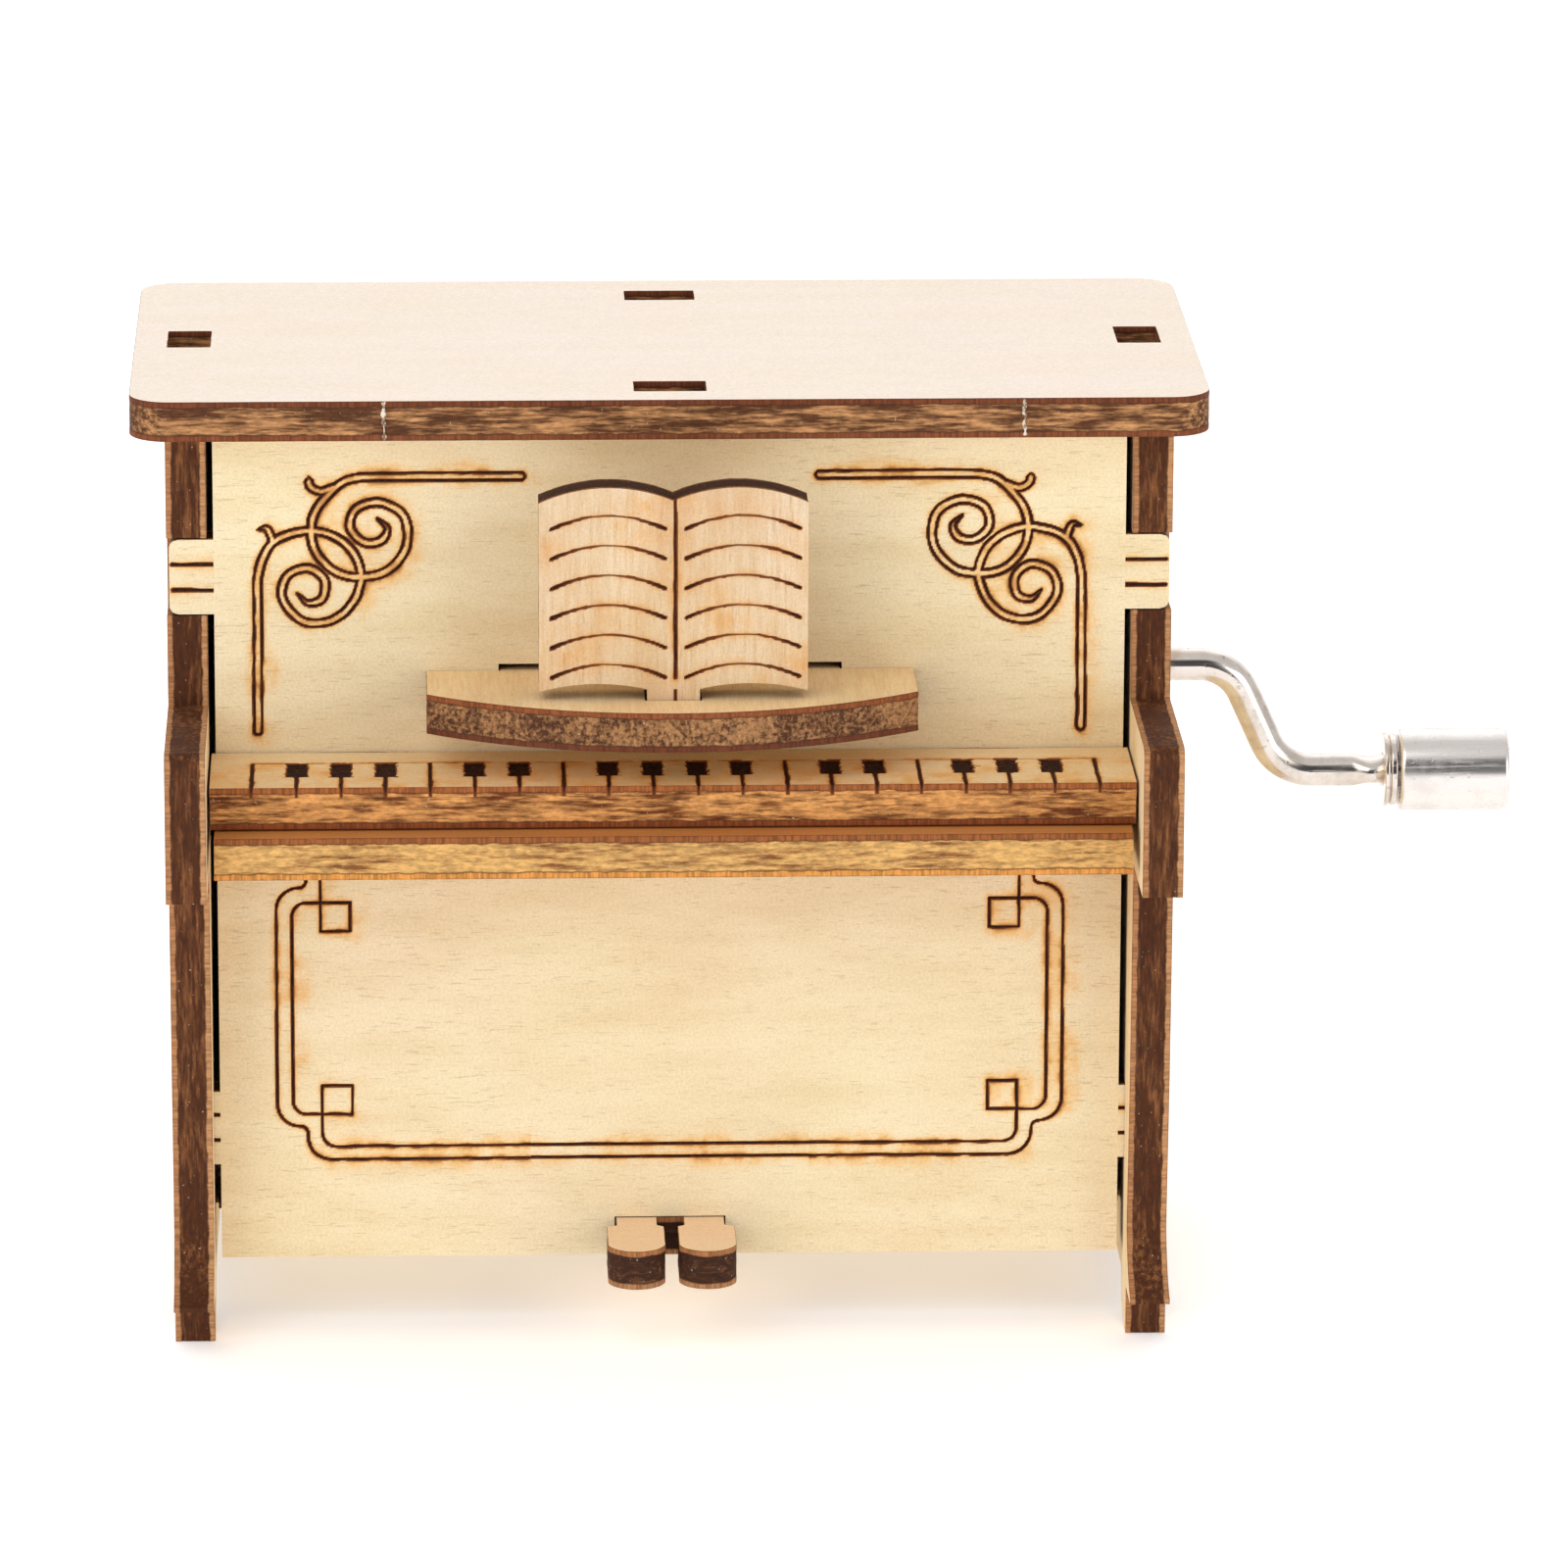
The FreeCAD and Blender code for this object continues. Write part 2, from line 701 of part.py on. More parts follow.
# ---------------------------------------------------------------- movement: frame and comb
def make_movement_frame():
    """One casting: a bedplate, a seat for the comb, two posts for the drum and two cheeks for the crank."""
    body = new_body("movement_frame", y=back_front)
    plate_loop = round_loop(-bedplate_left, bedplate_low, bedplate_right, bedplate_high, bedplate_corner)
    holes = [(x, z, screw_width / 2 + running_gap) for x, z in screw_places()]
    pad(body, new_sketch(body, "XZ_Plane", [plate_loop], holes), bedplate_thick)

    seat = box_loop(comb_end, comb_middle - comb_half, comb_line, comb_middle + comb_half)
    pad(body, new_sketch(body, "XZ_Plane", [seat], comb_screw_holes()), back_front - comb_seat)

    half = post_width / 2
    posts = [box_loop(drum_x - half, z, drum_x + half, z + post_thick) for z in (lower_post, upper_post)]
    pad(body, new_sketch(body, "XZ_Plane", posts), back_front - drum_back + post_front)

    low = crank_height - cheek_height / 2
    reach = worm_hub_length / 2 + thrust_gap
    cheeks = []
    for left in (drum_x - reach - cheek_thick, drum_x + reach):
        cheeks.append(box_loop(left, low, left + cheek_thick, low + cheek_height))
    pad(body, new_sketch(body, "XZ_Plane", cheeks), back_front - crank_back + cheek_front)

    arbor_bore = (drum_x, drum_back - back_front, arbor_width / 2 + running_gap)
    cut_through(body, new_sketch(body, "XY_Plane", circles=[arbor_bore]))
    crank_bore = (crank_back - back_front, crank_height, wire_width / 2 + running_gap)
    cut_through(body, new_sketch(body, "YZ_Plane", circles=[crank_bore]))


def comb_screw_places():
    x = comb_end + comb_root / 2
    return [(x, comb_middle - comb_screw_pitch / 2), (x, comb_middle + comb_screw_pitch / 2)]


def comb_screw_holes():
    return [(x, z, comb_screw_width / 2 + running_gap) for x, z in comb_screw_places()]


def make_comb_base():
    loop = box_loop(comb_end, comb_middle - comb_half, comb_line, comb_middle + comb_half)
    plate("comb_base", "XZ_Plane", [loop], comb_base_thick, comb_screw_holes(), y=comb_base_front)


def make_comb():
    """A steel plate with a slit between each two of its teeth."""
    loop = box_loop(comb_end, comb_middle - comb_half, comb_tip, comb_middle + comb_half)
    body = plate("comb", "XZ_Plane", [loop], comb_thick, comb_screw_holes(), y=comb_front)
    low = comb_middle - comb_half + note_pitch - comb_slit / 2
    slit = box_loop(comb_line, low, comb_tip + comb_slit, low + comb_slit)
    pocket = cut_through(body, new_sketch(body, "XZ_Plane", [slit]))
    pattern = body.newObject("PartDesign::LinearPattern", "comb_slits")
    pattern.Originals = [pocket]
    pattern.Direction = (plane(body, "XY_Plane"), [""])
    pattern.setExpression("Length", ((note_count - 2) * note_pitch).text)
    pattern.setExpression("Occurrences", (note_count - 1).text)
    body.Tip = pattern
    doc.recompute()


def make_screws(label, places, seat, length, width, head, thick):
    """Pan-head screws along Y as one group: the heads stand in front of, or behind, their seat.
    A positive length runs backwards from the seat, a negative one forwards."""
    screws = []
    direction = 1 if length.number > 0 else -1
    for i, (x, z) in enumerate(places):
        shank = doc.addObject("Part::Cylinder", f"{label}_shank_{i}")
        cap = doc.addObject("Part::Cylinder", f"{label}_head_{i}")
        slot = doc.addObject("Part::Box", f"{label}_slot_{i}")
        for part, radius, height, sense in (
            (shank, width / 2, length * direction, direction),
            (cap, head / 2, thick, -direction),
        ):
            part.setExpression("Radius", radius.text)
            part.setExpression("Height", height.text)
            part.Placement.Rotation = FreeCAD.Rotation(FreeCAD.Vector(1, 0, 0), -90 * sense)
            place(part, x, seat, z)
        slot.setExpression("Length", (head * 2).text)
        slot.setExpression("Width", (thick / 2).text)
        slot.setExpression("Height", head_slot.text)
        slot_y = seat - thick if direction > 0 else seat + thick / 2
        place(slot, x - head, slot_y, z - head_slot / 2)
        solid = doc.addObject("Part::Fuse", f"{label}_blank_{i}")
        solid.Base = shank
        solid.Tool = cap
        cut = doc.addObject("Part::Cut", f"{label}_{i}")
        cut.Base = solid
        cut.Tool = slot
        screws.append(cut)
    group = doc.addObject("Part::Compound", label)
    group.Links = screws
    node(group, label)
    doc.recompute()


def make_bedplate_washers():
    rings = []
    seat = back_front + ply
    for i, (x, z) in enumerate(screw_places()):
        rings.append([])
        for name, radius in (("disc", flat_washer_width / 2), ("bore", screw_width / 2 + fit_gap)):
            disc = doc.addObject("Part::Cylinder", f"washer_{name}_{i}")
            disc.setExpression("Radius", radius.text)
            disc.setExpression("Height", flat_washer_thick.text)
            disc.Placement.Rotation = FreeCAD.Rotation(FreeCAD.Vector(1, 0, 0), -90)
            place(disc, x, seat, z)
            rings[-1].append(disc)
    cuts = []
    for i, (disc, bore) in enumerate(rings):
        cut = doc.addObject("Part::Cut", f"washer_{i}")
        cut.Base = disc
        cut.Tool = bore
        cuts.append(cut)
    group = doc.addObject("Part::Compound", "bedplate_washers")
    group.Links = cuts
    node(group, "bedplate_washers")
    doc.recompute()


# ---------------------------------------------------------------- movement: drum
def ring(label, low, high, outer, inner):
    """A ring or sleeve round the drum's axis."""
    body = new_body(label, drum_x, drum_back)
    circles = [(0, 0, outer)] + ([(0, 0, inner)] if inner is not None else [])
    pad(body, new_sketch(body, "XY_Plane", circles=circles, offset=low), high - low)
    return body


def make_drum():
    outer = drum_width / 2
    ring("drum", drum_bottom, drum_top, outer, outer - drum_wall)
    ring("drum_arbor", lower_post - arbor_end, upper_post + post_thick + arbor_end, arbor_width / 2, None)


def make_drum_caps():
    """Discs pressed into both ends of the drum. The lower one has a hub that rides on the lower post."""
    inner = drum_width / 2 - drum_wall
    bore = arbor_width / 2
    hub = hub_width / 2
    body = new_body("drum_lower_cap", drum_x, drum_back)
    profile = [
        (bore, drum_bottom - cap_hub),
        (hub, drum_bottom - cap_hub),
        (hub, drum_bottom),
        (inner, drum_bottom),
        (inner, drum_bottom + drum_cap),
        (bore, drum_bottom + drum_cap),
    ]
    revolve(body, new_sketch(body, "XZ_Plane", [profile]), "V_Axis")
    ring("drum_upper_cap", drum_top - drum_cap, drum_top, inner, bore)


def make_drum_pins():
    """Short pins set into the drum. Each note's pins stand at their own steps around it."""
    radius = drum_width.number / 2 - pin_depth.number
    length = pin_depth.number + pin_rise.number
    pins = []
    for note in range(int(note_count.number)):
        height = first_note.number + note * note_pitch.number
        for turn in range(int(pins_per_note.number)):
            step = note * note_step.number + turn * turn_step.number + note * turn * mixed_step.number
            angle = 2 * math.pi * (step % pin_steps.number) / pin_steps.number
            outwards = FreeCAD.Vector(math.cos(angle), math.sin(angle), 0)
            foot = outwards * radius + FreeCAD.Vector(0, 0, height)
            pins.append(Part.makeCylinder(pin_width.number / 2, length, foot, outwards))
    group = doc.addObject("Part::Feature", "drum_pins")
    group.Shape = Part.makeCompound(pins)
    node(group, "drum_pins")
    place(group, drum_x, drum_back)
    doc.recompute()


def make_drum_gear():
    """The worm wheel: tooth gaps that lean with the worm's thread, and a hub at each face."""
    body = new_body("drum_gear", drum_x, drum_back, crank_height)
    half = gear_width / 2
    bore = (0, 0, arbor_width / 2)
    pad(body, new_sketch(body, "XY_Plane", circles=[(0, 0, gear_tip), bore], offset=-half), gear_width)
    gap = [
        (-gear_gap_root / 2, -gear_root),
        (-gear_gap_tip / 2, -gear_tip - gear_module),
        (gear_gap_tip / 2, -gear_tip - gear_module),
        (gear_gap_root / 2, -gear_root),
    ]
    leaning = new_sketch(body, "XY_Plane", [gap])
    lean = arctangent(thread_lead / (2 * math.pi * worm_pitch))
    leaning.AttachmentOffset = FreeCAD.Placement(
        FreeCAD.Vector(0, 0, 0), FreeCAD.Rotation(FreeCAD.Vector(0, 1, 0), lean.number)
    )
    leaning.setExpression("AttachmentOffset.Rotation.Angle", lean.text)
    pocket = cut_through(body, leaning)
    pattern = body.newObject("PartDesign::PolarPattern", "gear_gaps")
    pattern.Originals = [pocket]
    pattern.Axis = (plane(body, "Z_Axis"), [""])
    pattern.Angle = 360.0
    pattern.setExpression("Occurrences", gear_teeth.text)
    body.Tip = pattern
    doc.recompute()
    hub_circles = [(0, 0, hub_width / 2), bore]
    pad(body, new_sketch(body, "XY_Plane", circles=hub_circles, offset=-half - gear_hub), gear_hub)
    pad(body, new_sketch(body, "XY_Plane", circles=hub_circles, offset=half), gear_collar)


# ---------------------------------------------------------------- crank
def make_worm():
    """A one-start right-hand thread on a sleeve. A turn of it faces the wheel at the drum's own X."""
    body = new_body("worm", 0, crank_back, crank_height)
    reach = worm_hub_length / 2
    circles = [(0, 0, worm_root_width / 2), (0, 0, wire_width / 2)]
    pad(body, new_sketch(body, "YZ_Plane", circles=circles, offset=drum_x - reach), worm_hub_length)
    start = drum_x - thread_lead * thread_turns / 2
    sunk = worm_root_width / 2 - fit_gap
    thread = [
        (start - thread_root / 2, sunk),
        (start + thread_root / 2, sunk),
        (start + thread_tip / 2, worm_tip),
        (start - thread_tip / 2, worm_tip),
    ]
    helix = body.newObject("PartDesign::AdditiveHelix", "worm_thread")
    profile = new_sketch(body, "XY_Plane", [thread])
    helix.Profile = profile
    helix.ReferenceAxis = (profile, ["H_Axis"])
    helix.Mode = "pitch-height-angle"
    helix.setExpression("Pitch", thread_lead.text)
    helix.setExpression("Height", (thread_lead * thread_turns).text)
    helix.Angle = 0.0
    doc.recompute()


def make_crank_wire():
    """Bent wire with pinched wings that stop the washer, and a rivet head inside the grip."""
    body = new_body("crank_wire", 0, crank_back, 0)
    across = bend_across
    down = bend_down
    start = drum_x - worm_hub_length / 2 - thrust_gap - cheek_thick - wire_tail
    path = [
        (start, crank_height),
        (bend_start, crank_height, -bend_radius),
        (bend_start + across, crank_height - down),
        (bend_end - across, lower_axis + down, bend_radius),
        (bend_end, lower_axis),
        (counterbore_start + rivet_play, lower_axis),
    ]
    spine = new_sketch(body, "XZ_Plane", path=path)
    section = new_sketch(body, "YZ_Plane", circles=[(0, crank_height, wire_width / 2)], offset=start)
    pipe = body.newObject("PartDesign::AdditivePipe", "crank_pipe")
    pipe.Profile = section
    pipe.Spine = spine
    doc.recompute()
    wing = round_loop(
        -swage_width / 2,
        lower_axis - swage_thick / 2,
        swage_width / 2,
        lower_axis + swage_thick / 2,
        swage_edge,
    )
    pad(body, new_sketch(body, "YZ_Plane", [wing], offset=washer_start - swage_length), swage_length)
    head = [(0, lower_axis, rivet_width / 2)]
    pad(body, new_sketch(body, "YZ_Plane", circles=head, offset=counterbore_start + rivet_play), rivet_thick)


def make_grip():
    """The turned sleeve that spins on the lower run, its end cap, and the washer beside it."""
    bore = wire_width / 2 + grip_bore_gap
    outer = grip_width / 2
    body = new_body("knob_sleeve", 0, crank_back, lower_axis)
    profile = [
        (grip_start, bore),
        (counterbore_start, bore),
        (counterbore_start, cap_width / 2),
        (grip_end, cap_width / 2),
        (grip_end, outer - grip_edge, grip_edge),
        (grip_end - grip_edge, outer),
        (grip_start + grip_edge, outer, grip_edge),
        (grip_start, outer - grip_edge),
    ]
    revolve(body, new_sketch(body, "XY_Plane", [profile]), "H_Axis")

    cap = new_body("knob_cap", 0, crank_back, lower_axis)
    low = grip_end - cap_recess - cap_thick
    pad(cap, new_sketch(cap, "YZ_Plane", circles=[(0, 0, cap_width / 2)], offset=low), cap_thick)

    washer = new_body("knob_washer", 0, crank_back, lower_axis)
    circles = [(0, 0, washer_width / 2), (0, 0, wire_width / 2 + running_gap)]
    pad(washer, new_sketch(washer, "YZ_Plane", circles=circles, offset=washer_start), washer_thick)


# ---------------------------------------------------------------- build, check and write
def check_all():
    """Every feature has to be sound, and every sub-part a valid shape, before anything is written."""
    for obj in doc.Objects:
        if "Invalid" in obj.State or "Error" in obj.State:
            raise RuntimeError(f"{obj.Label} failed: {obj.State}")
    for obj in NODES:
        if obj.Shape.isNull() or not obj.Shape.isValid() or not obj.Shape.Solids:
            raise RuntimeError(f"{obj.Label} has no valid solid")


def write_all():
    os.makedirs("parts", exist_ok=True)
    for obj in NODES:
        obj.Shape.exportStep(f"parts/{obj.Label}.step")
        print(f"{obj.Label}: {len(obj.Shape.Solids)} solid(s), {obj.Shape.Volume:.2f} mm3")


make_lid()
make_front_panel()
make_back_panel()
make_side("left_side", -case_width / 2, [])
make_side("right_side", side_inner, [(crank_back, crank_height, crank_hole / 2)])
make_floor_board()
make_keyboard()
make_keybed()
make_music_shelf()
make_music_book()
make_pedals()
make_movement_frame()
make_comb_base()
make_comb()
make_screws("comb_screws", comb_screw_places(), comb_front, comb_screw_length, comb_screw_width,
            comb_head_width, comb_head_thick)
make_screws("bedplate_screws", screw_places(), back_front + ply + flat_washer_thick, -screw_length,
            screw_width, head_width, head_thick)
make_bedplate_washers()
make_drum()
make_drum_caps()
make_drum_pins()
make_drum_gear()
make_worm()
make_crank_wire()
make_grip()
doc.recompute()
check_all()
write_all()
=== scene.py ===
import json
import math

import bpy
import numpy as np
from mathutils import Matrix, Vector
from mathutils.geometry import tessellate_polygon


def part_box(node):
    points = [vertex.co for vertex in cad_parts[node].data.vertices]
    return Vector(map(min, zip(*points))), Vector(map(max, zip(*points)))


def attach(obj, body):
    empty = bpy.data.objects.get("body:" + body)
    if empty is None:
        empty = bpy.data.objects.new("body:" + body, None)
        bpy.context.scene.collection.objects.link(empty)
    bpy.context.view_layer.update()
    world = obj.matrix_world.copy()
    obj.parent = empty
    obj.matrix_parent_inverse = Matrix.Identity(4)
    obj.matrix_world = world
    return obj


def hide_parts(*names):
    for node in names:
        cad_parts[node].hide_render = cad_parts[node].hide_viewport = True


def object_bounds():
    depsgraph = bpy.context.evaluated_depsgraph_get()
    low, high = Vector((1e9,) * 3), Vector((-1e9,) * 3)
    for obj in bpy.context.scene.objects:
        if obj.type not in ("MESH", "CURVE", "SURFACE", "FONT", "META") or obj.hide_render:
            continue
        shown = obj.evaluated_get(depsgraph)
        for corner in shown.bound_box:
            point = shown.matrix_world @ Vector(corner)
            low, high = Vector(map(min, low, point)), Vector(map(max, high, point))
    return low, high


bl_info = {
    "name": "Piano Music Box",
    "version": (1, 0, 0),
    "blender": (4, 5, 0),
    "location": "View3D > Sidebar > Music Box",
    "description": "Builds a hand-cranked plywood music box around its packed CAD frame",
    "category": "Object",
}

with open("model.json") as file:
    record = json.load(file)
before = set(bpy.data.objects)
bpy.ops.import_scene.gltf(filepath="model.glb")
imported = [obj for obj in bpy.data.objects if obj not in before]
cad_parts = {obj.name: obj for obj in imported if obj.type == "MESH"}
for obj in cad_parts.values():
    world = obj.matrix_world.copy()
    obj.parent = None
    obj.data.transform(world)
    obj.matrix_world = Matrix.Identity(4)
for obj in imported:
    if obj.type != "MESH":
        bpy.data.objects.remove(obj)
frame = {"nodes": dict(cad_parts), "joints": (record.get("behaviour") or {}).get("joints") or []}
CAD_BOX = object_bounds()
MM = 0.001
CASE = "case"
PLANES = {"x": (1, 2, 0), "y": (0, 2, 1), "z": (0, 1, 2)}


def span(node):
    """A CAD node's lowest and highest corner, as arrays in metres."""
    low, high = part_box(node)
    return np.array(low), np.array(high)


PANEL_LOW, PANEL_HIGH = span("front_panel")
MIDDLE = (PANEL_LOW[0] + PANEL_HIGH[0]) / 2
FRONT = PANEL_LOW[1]


# ---------------------------------------------------------------- numbers that vary over a surface
def lattice(i, seed):
    """A repeatable value from 0 to 1 for whole numbers: the fractional part of a large sine."""
    return np.modf(np.abs(np.sin(i * 12.9898 + seed * 78.233) * 43758.5453))[0]


def ripple(t, seed, octaves=3):
    """Smooth noise of one parameter, about -1 to 1: lattice values joined by cubic ease, octaves added."""
    total = np.zeros_like(t, dtype=float)
    for octave in range(octaves):
        s = t * 2**octave
        whole = np.floor(s)
        part = s - whole
        ease = part * part * (3 - 2 * part)
        before, after = lattice(whole, seed + octave), lattice(whole + 1, seed + octave)
        total += (2 * (before * (1 - ease) + after * ease) - 1) / 2**octave
    return total / 1.75


def ripple_plane(u, v, seed):
    """Smooth noise of two parameters, about -1 to 1: lattice values at the four corners, eased both ways."""
    wu, wv = np.floor(u), np.floor(v)
    eu, ev = (p * p * (3 - 2 * p) for p in (u - wu, v - wv))
    corners = [lattice((wu + i) * 57.31 + (wv + j) * 113.7, seed) for i in (0, 1) for j in (0, 1)]
    low = corners[0] * (1 - ev) + corners[1] * ev
    high = corners[2] * (1 - ev) + corners[3] * ev
    return 2 * (low * (1 - eu) + high * eu) - 1


# ---------------------------------------------------------------- mesh making
def make_piece(name, points, faces, body, nodes, material, attributes=None, smooth=False):
    """Puts whole arrays of points and faces into a mesh and joins it to a body."""
    mesh = bpy.data.meshes.new(name)
    mesh.from_pydata(points.tolist(), [], faces)
    for key, values in (attributes or {}).items():
        layer = mesh.attributes.new(key, "FLOAT", "POINT")
        layer.data.foreach_set("value", values.astype(np.float32))
    mesh.polygons.foreach_set("use_smooth", np.full(len(mesh.polygons), smooth))
    mesh.materials.append(material)
    mesh.update()
    piece = bpy.data.objects.new(name, mesh)
    bpy.context.scene.collection.objects.link(piece)
    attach(piece, body)
    if nodes:
        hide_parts(*nodes)
    return piece


def grid_faces(rows, columns, around=False, start=0):
    """Quads of a grid whose points are counted row by row. around joins the last column to the first."""
    i = np.arange(rows - 1)[:, None]
    j = np.arange(columns if around else columns - 1)[None, :]
    after = (j + 1) % columns
    a, b = i * columns + j, i * columns + after
    return (np.stack([a, b, b + columns, a + columns], -1).reshape(-1, 4) + start).tolist()


def single_edges(edges, total):
    """The directed edges, between points numbered below total, that no other edge runs back along."""
    forward = edges[:, 0] * total + edges[:, 1]
    backward = edges[:, 1] * total + edges[:, 0]
    return edges[~np.isin(forward, backward)]


def thickened(front, total):
    """Closes a sheet of quads into a slab: the sheet, its copy total points further on that faces the other
    way, and a wall along every open edge."""
    rim = single_edges(front[:, [0, 1, 1, 2, 2, 3, 3, 0]].reshape(-1, 2), total)
    walls = np.concatenate([rim[:, ::-1], rim + total], 1)
    return np.concatenate([front, front[:, ::-1] + total, walls])


def outline_loops(node, axis):
    """The flat outline of a sheet piece: edges used once by the triangles that lie on its low side along axis,
    walked head to tail into loops. Returns the loops in the other two axes, and the low and high faces."""
    mesh = frame["nodes"][node].data
    co = np.empty(len(mesh.vertices) * 3)
    mesh.vertices.foreach_get("co", co)
    mesh.calc_loop_triangles()
    tris = np.empty(len(mesh.loop_triangles) * 3, dtype=int)
    mesh.loop_triangles.foreach_get("vertices", tris)
    co, merged = np.unique(np.round(co.reshape(-1, 3), 7), axis=0, return_inverse=True)
    tris = merged.reshape(-1)[tris].reshape(-1, 3)
    u, v, w = PLANES[axis]
    low, high = co[:, w].min(), co[:, w].max()
    flat = tris[(np.abs(co[tris][:, :, w] - low) < 1e-6).all(1)]
    edges = np.concatenate([flat[:, [0, 1]], flat[:, [1, 2]], flat[:, [2, 0]]])
    following = dict(single_edges(edges, len(co)).tolist())
    loops = []
    while following:
        start = next(iter(following))
        walk = [start]
        while following[walk[-1]] != start:
            walk.append(following.pop(walk[-1]))
        following.pop(walk[-1])
        loops.append(co[walk][:, [u, v]])
    return loops, low, high


def signed_area(loop):
    """Half the sum of the cross products of following points: above 0 when the loop runs anticlockwise."""
    ahead = np.roll(loop, -1, axis=0)
    return 0.5 * np.sum(loop[:, 0] * ahead[:, 1] - ahead[:, 0] * loop[:, 1])


def finely(loop, step):
    """The same closed loop with no edge longer than step: each edge is divided evenly."""
    ahead = np.roll(loop, -1, axis=0)
    counts = np.maximum(1, np.ceil(np.linalg.norm(ahead - loop, axis=1) / step)).astype(int)
    owner = np.repeat(np.arange(len(loop)), counts)
    share = (np.arange(len(owner)) - np.repeat(np.cumsum(counts) - counts, counts)) / counts[owner]
    return loop[owner] * (1 - share[:, None]) + ahead[owner] * share[:, None]


def outwards(loop):
    """The mitred unit normal at each point of a loop that runs anticlockwise round the solid."""
    behind = loop - np.roll(loop, 1, axis=0)
    ahead = np.roll(loop, -1, axis=0) - loop
    tangents = [t / np.linalg.norm(t, axis=1)[:, None] for t in (behind, ahead)]
    total = tangents[0] + tangents[1]
    total /= np.maximum(np.linalg.norm(total, axis=1), 0.3)[:, None]
    return np.stack([total[:, 1], -total[:, 0]], -1)


SKIN = 0.45
ARRIS = 0.05 * MM
INSET_UNIT = 0.03 * MM
INSETS = np.array([1.3, 0.2, 0.1, 0.5, 1.1, 0.7, 0.9, 0.6, 1.1, 0.5, 0.1, 0.2, 1.3]) * INSET_UNIT
EDGE_STEP = 0.45 * MM
EDGE_RAGGED = 0.014 * MM


def ply_rows(thick):
    """Heights through a sheet for each of the cut edge's insets: arrises, veneers, glue lines and core."""
    skin = SKIN * MM
    core = [thick * share for share in (0.32, 0.44, 0.56)]
    rows = np.array([0, ARRIS, skin * 0.6, skin, skin + ARRIS, *core])
    return np.concatenate([rows, thick - rows[4::-1]])


def sheet_piece(name, node, axis, material, seed, trim=(0, 0)):
    """One piece of plywood. The edge profile is carried along the outline: at each height the outline moves in
    by the profile's inset plus a little noise, as a laser leaves it. Both faces close with flat triangles.
    trim takes a layer off the low or high face, where an engraved skin lies on it."""
    loops, low, high = outline_loops(node, axis)
    low, high = low + trim[0], high - trim[1]
    u, v, w = PLANES[axis]
    loops.sort(key=lambda loop: -abs(signed_area(loop)))
    points, faces, rings = [], [], []
    count = 0
    heights = ply_rows(high - low)
    for number, loop in enumerate(loops):
        if (signed_area(loop) > 0) != (number == 0):
            loop = loop[::-1]
        loop = finely(loop, EDGE_STEP)
        normals = outwards(loop)
        along = np.cumsum(np.linalg.norm(loop - np.roll(loop, 1, axis=0), axis=1)) / MM
        ragged = ripple_plane(along[None, :] * 1.7, heights[:, None] / MM * 2.0, seed + number)
        move = INSETS[:, None] + EDGE_RAGGED * (1 + ragged)
        ring = loop[None] - normals[None] * move[..., None]
        block = np.empty((len(heights), len(loop), 3))
        block[..., [u, v]] = ring
        block[..., w] = (low + heights)[:, None]
        points.append(block.reshape(-1, 3))
        faces += grid_faces(len(heights), len(loop), True, count)
        rings.append((count, count + (len(heights) - 1) * len(loop), len(loop)))
        count += block.shape[0] * block.shape[1]
    points = np.concatenate(points)
    caps = []
    for side in (0, 1):
        index = np.concatenate([np.arange(r[side], r[side] + r[2]) for r in rings])
        flat = [points[r[side]:r[side] + r[2]][:, [u, v]] for r in rings]
        outline = [[Vector((*point, 0)) for point in ring] for ring in flat]
        triangles = index[np.array(tessellate_polygon(outline))]
        p, q, s = (points[triangles[:, k]][:, [u, v]] for k in range(3))
        (qx, qy), (sx, sy) = (q - p).T, (s - p).T
        turn = qx * sy - sx * qy
        down = turn > 0 if side == 0 else turn < 0
        triangles[down] = triangles[down][:, ::-1]
        caps += triangles.tolist()
    faces += caps
    if axis == "y":
        faces = [face[::-1] for face in faces]
    return make_piece(name, points, faces, CASE, [node], material)


# ---------------------------------------------------------------- engraving
def smooth_curve(points, per_span=8):
    """A curve through given points: on each span a cubic whose end slopes are half the chord of the
    neighbours (Catmull-Rom). Coordinates are millimetres right of the middle of the case and above the table."""
    p = np.array(points, dtype=float)
    p = np.concatenate([[2 * p[0] - p[1]], p, [2 * p[-1] - p[-2]]])
    t = np.linspace(0, 1, per_span, endpoint=False)[None, :, None]
    a, b, c, d = p[:-3, None], p[1:-2, None], p[2:-1, None], p[3:, None]
    square, cube = 2 * a - 5 * b + 4 * c - d, 3 * b - a - 3 * c + d
    curve = 0.5 * (2 * b + (c - a) * t + square * t**2 + cube * t**3)
    return np.concatenate([curve.reshape(-1, 2), p[-2:-1]])


def corner(centre, radius, first, last, steps=8):
    """Points of a circular arc between two angles in degrees."""
    turn = np.radians(np.linspace(first, last, steps))
    return np.array(centre) + radius * np.stack([np.cos(turn), np.sin(turn)], -1)


def nearest(u, v, path):
    """Distance from every (u, v) to a polyline, and how far along the polyline its nearest point is, 0 to 1."""
    a, b = path[:-1], path[1:]
    run = b - a
    length = np.maximum((run**2).sum(1), 1e-12)
    best = np.full(u.shape, np.inf)
    along = np.zeros(u.shape)
    for k in range(len(a)):
        t = np.clip(((u - a[k, 0]) * run[k, 0] + (v - a[k, 1]) * run[k, 1]) / length[k], 0, 1)
        gap = np.hypot(u - a[k, 0] - t * run[k, 0], v - a[k, 1] - t * run[k, 1])
        closer = gap < best
        best = np.where(closer, gap, best)
        along = np.where(closer, (k + t) / len(a), along)
    return best, along


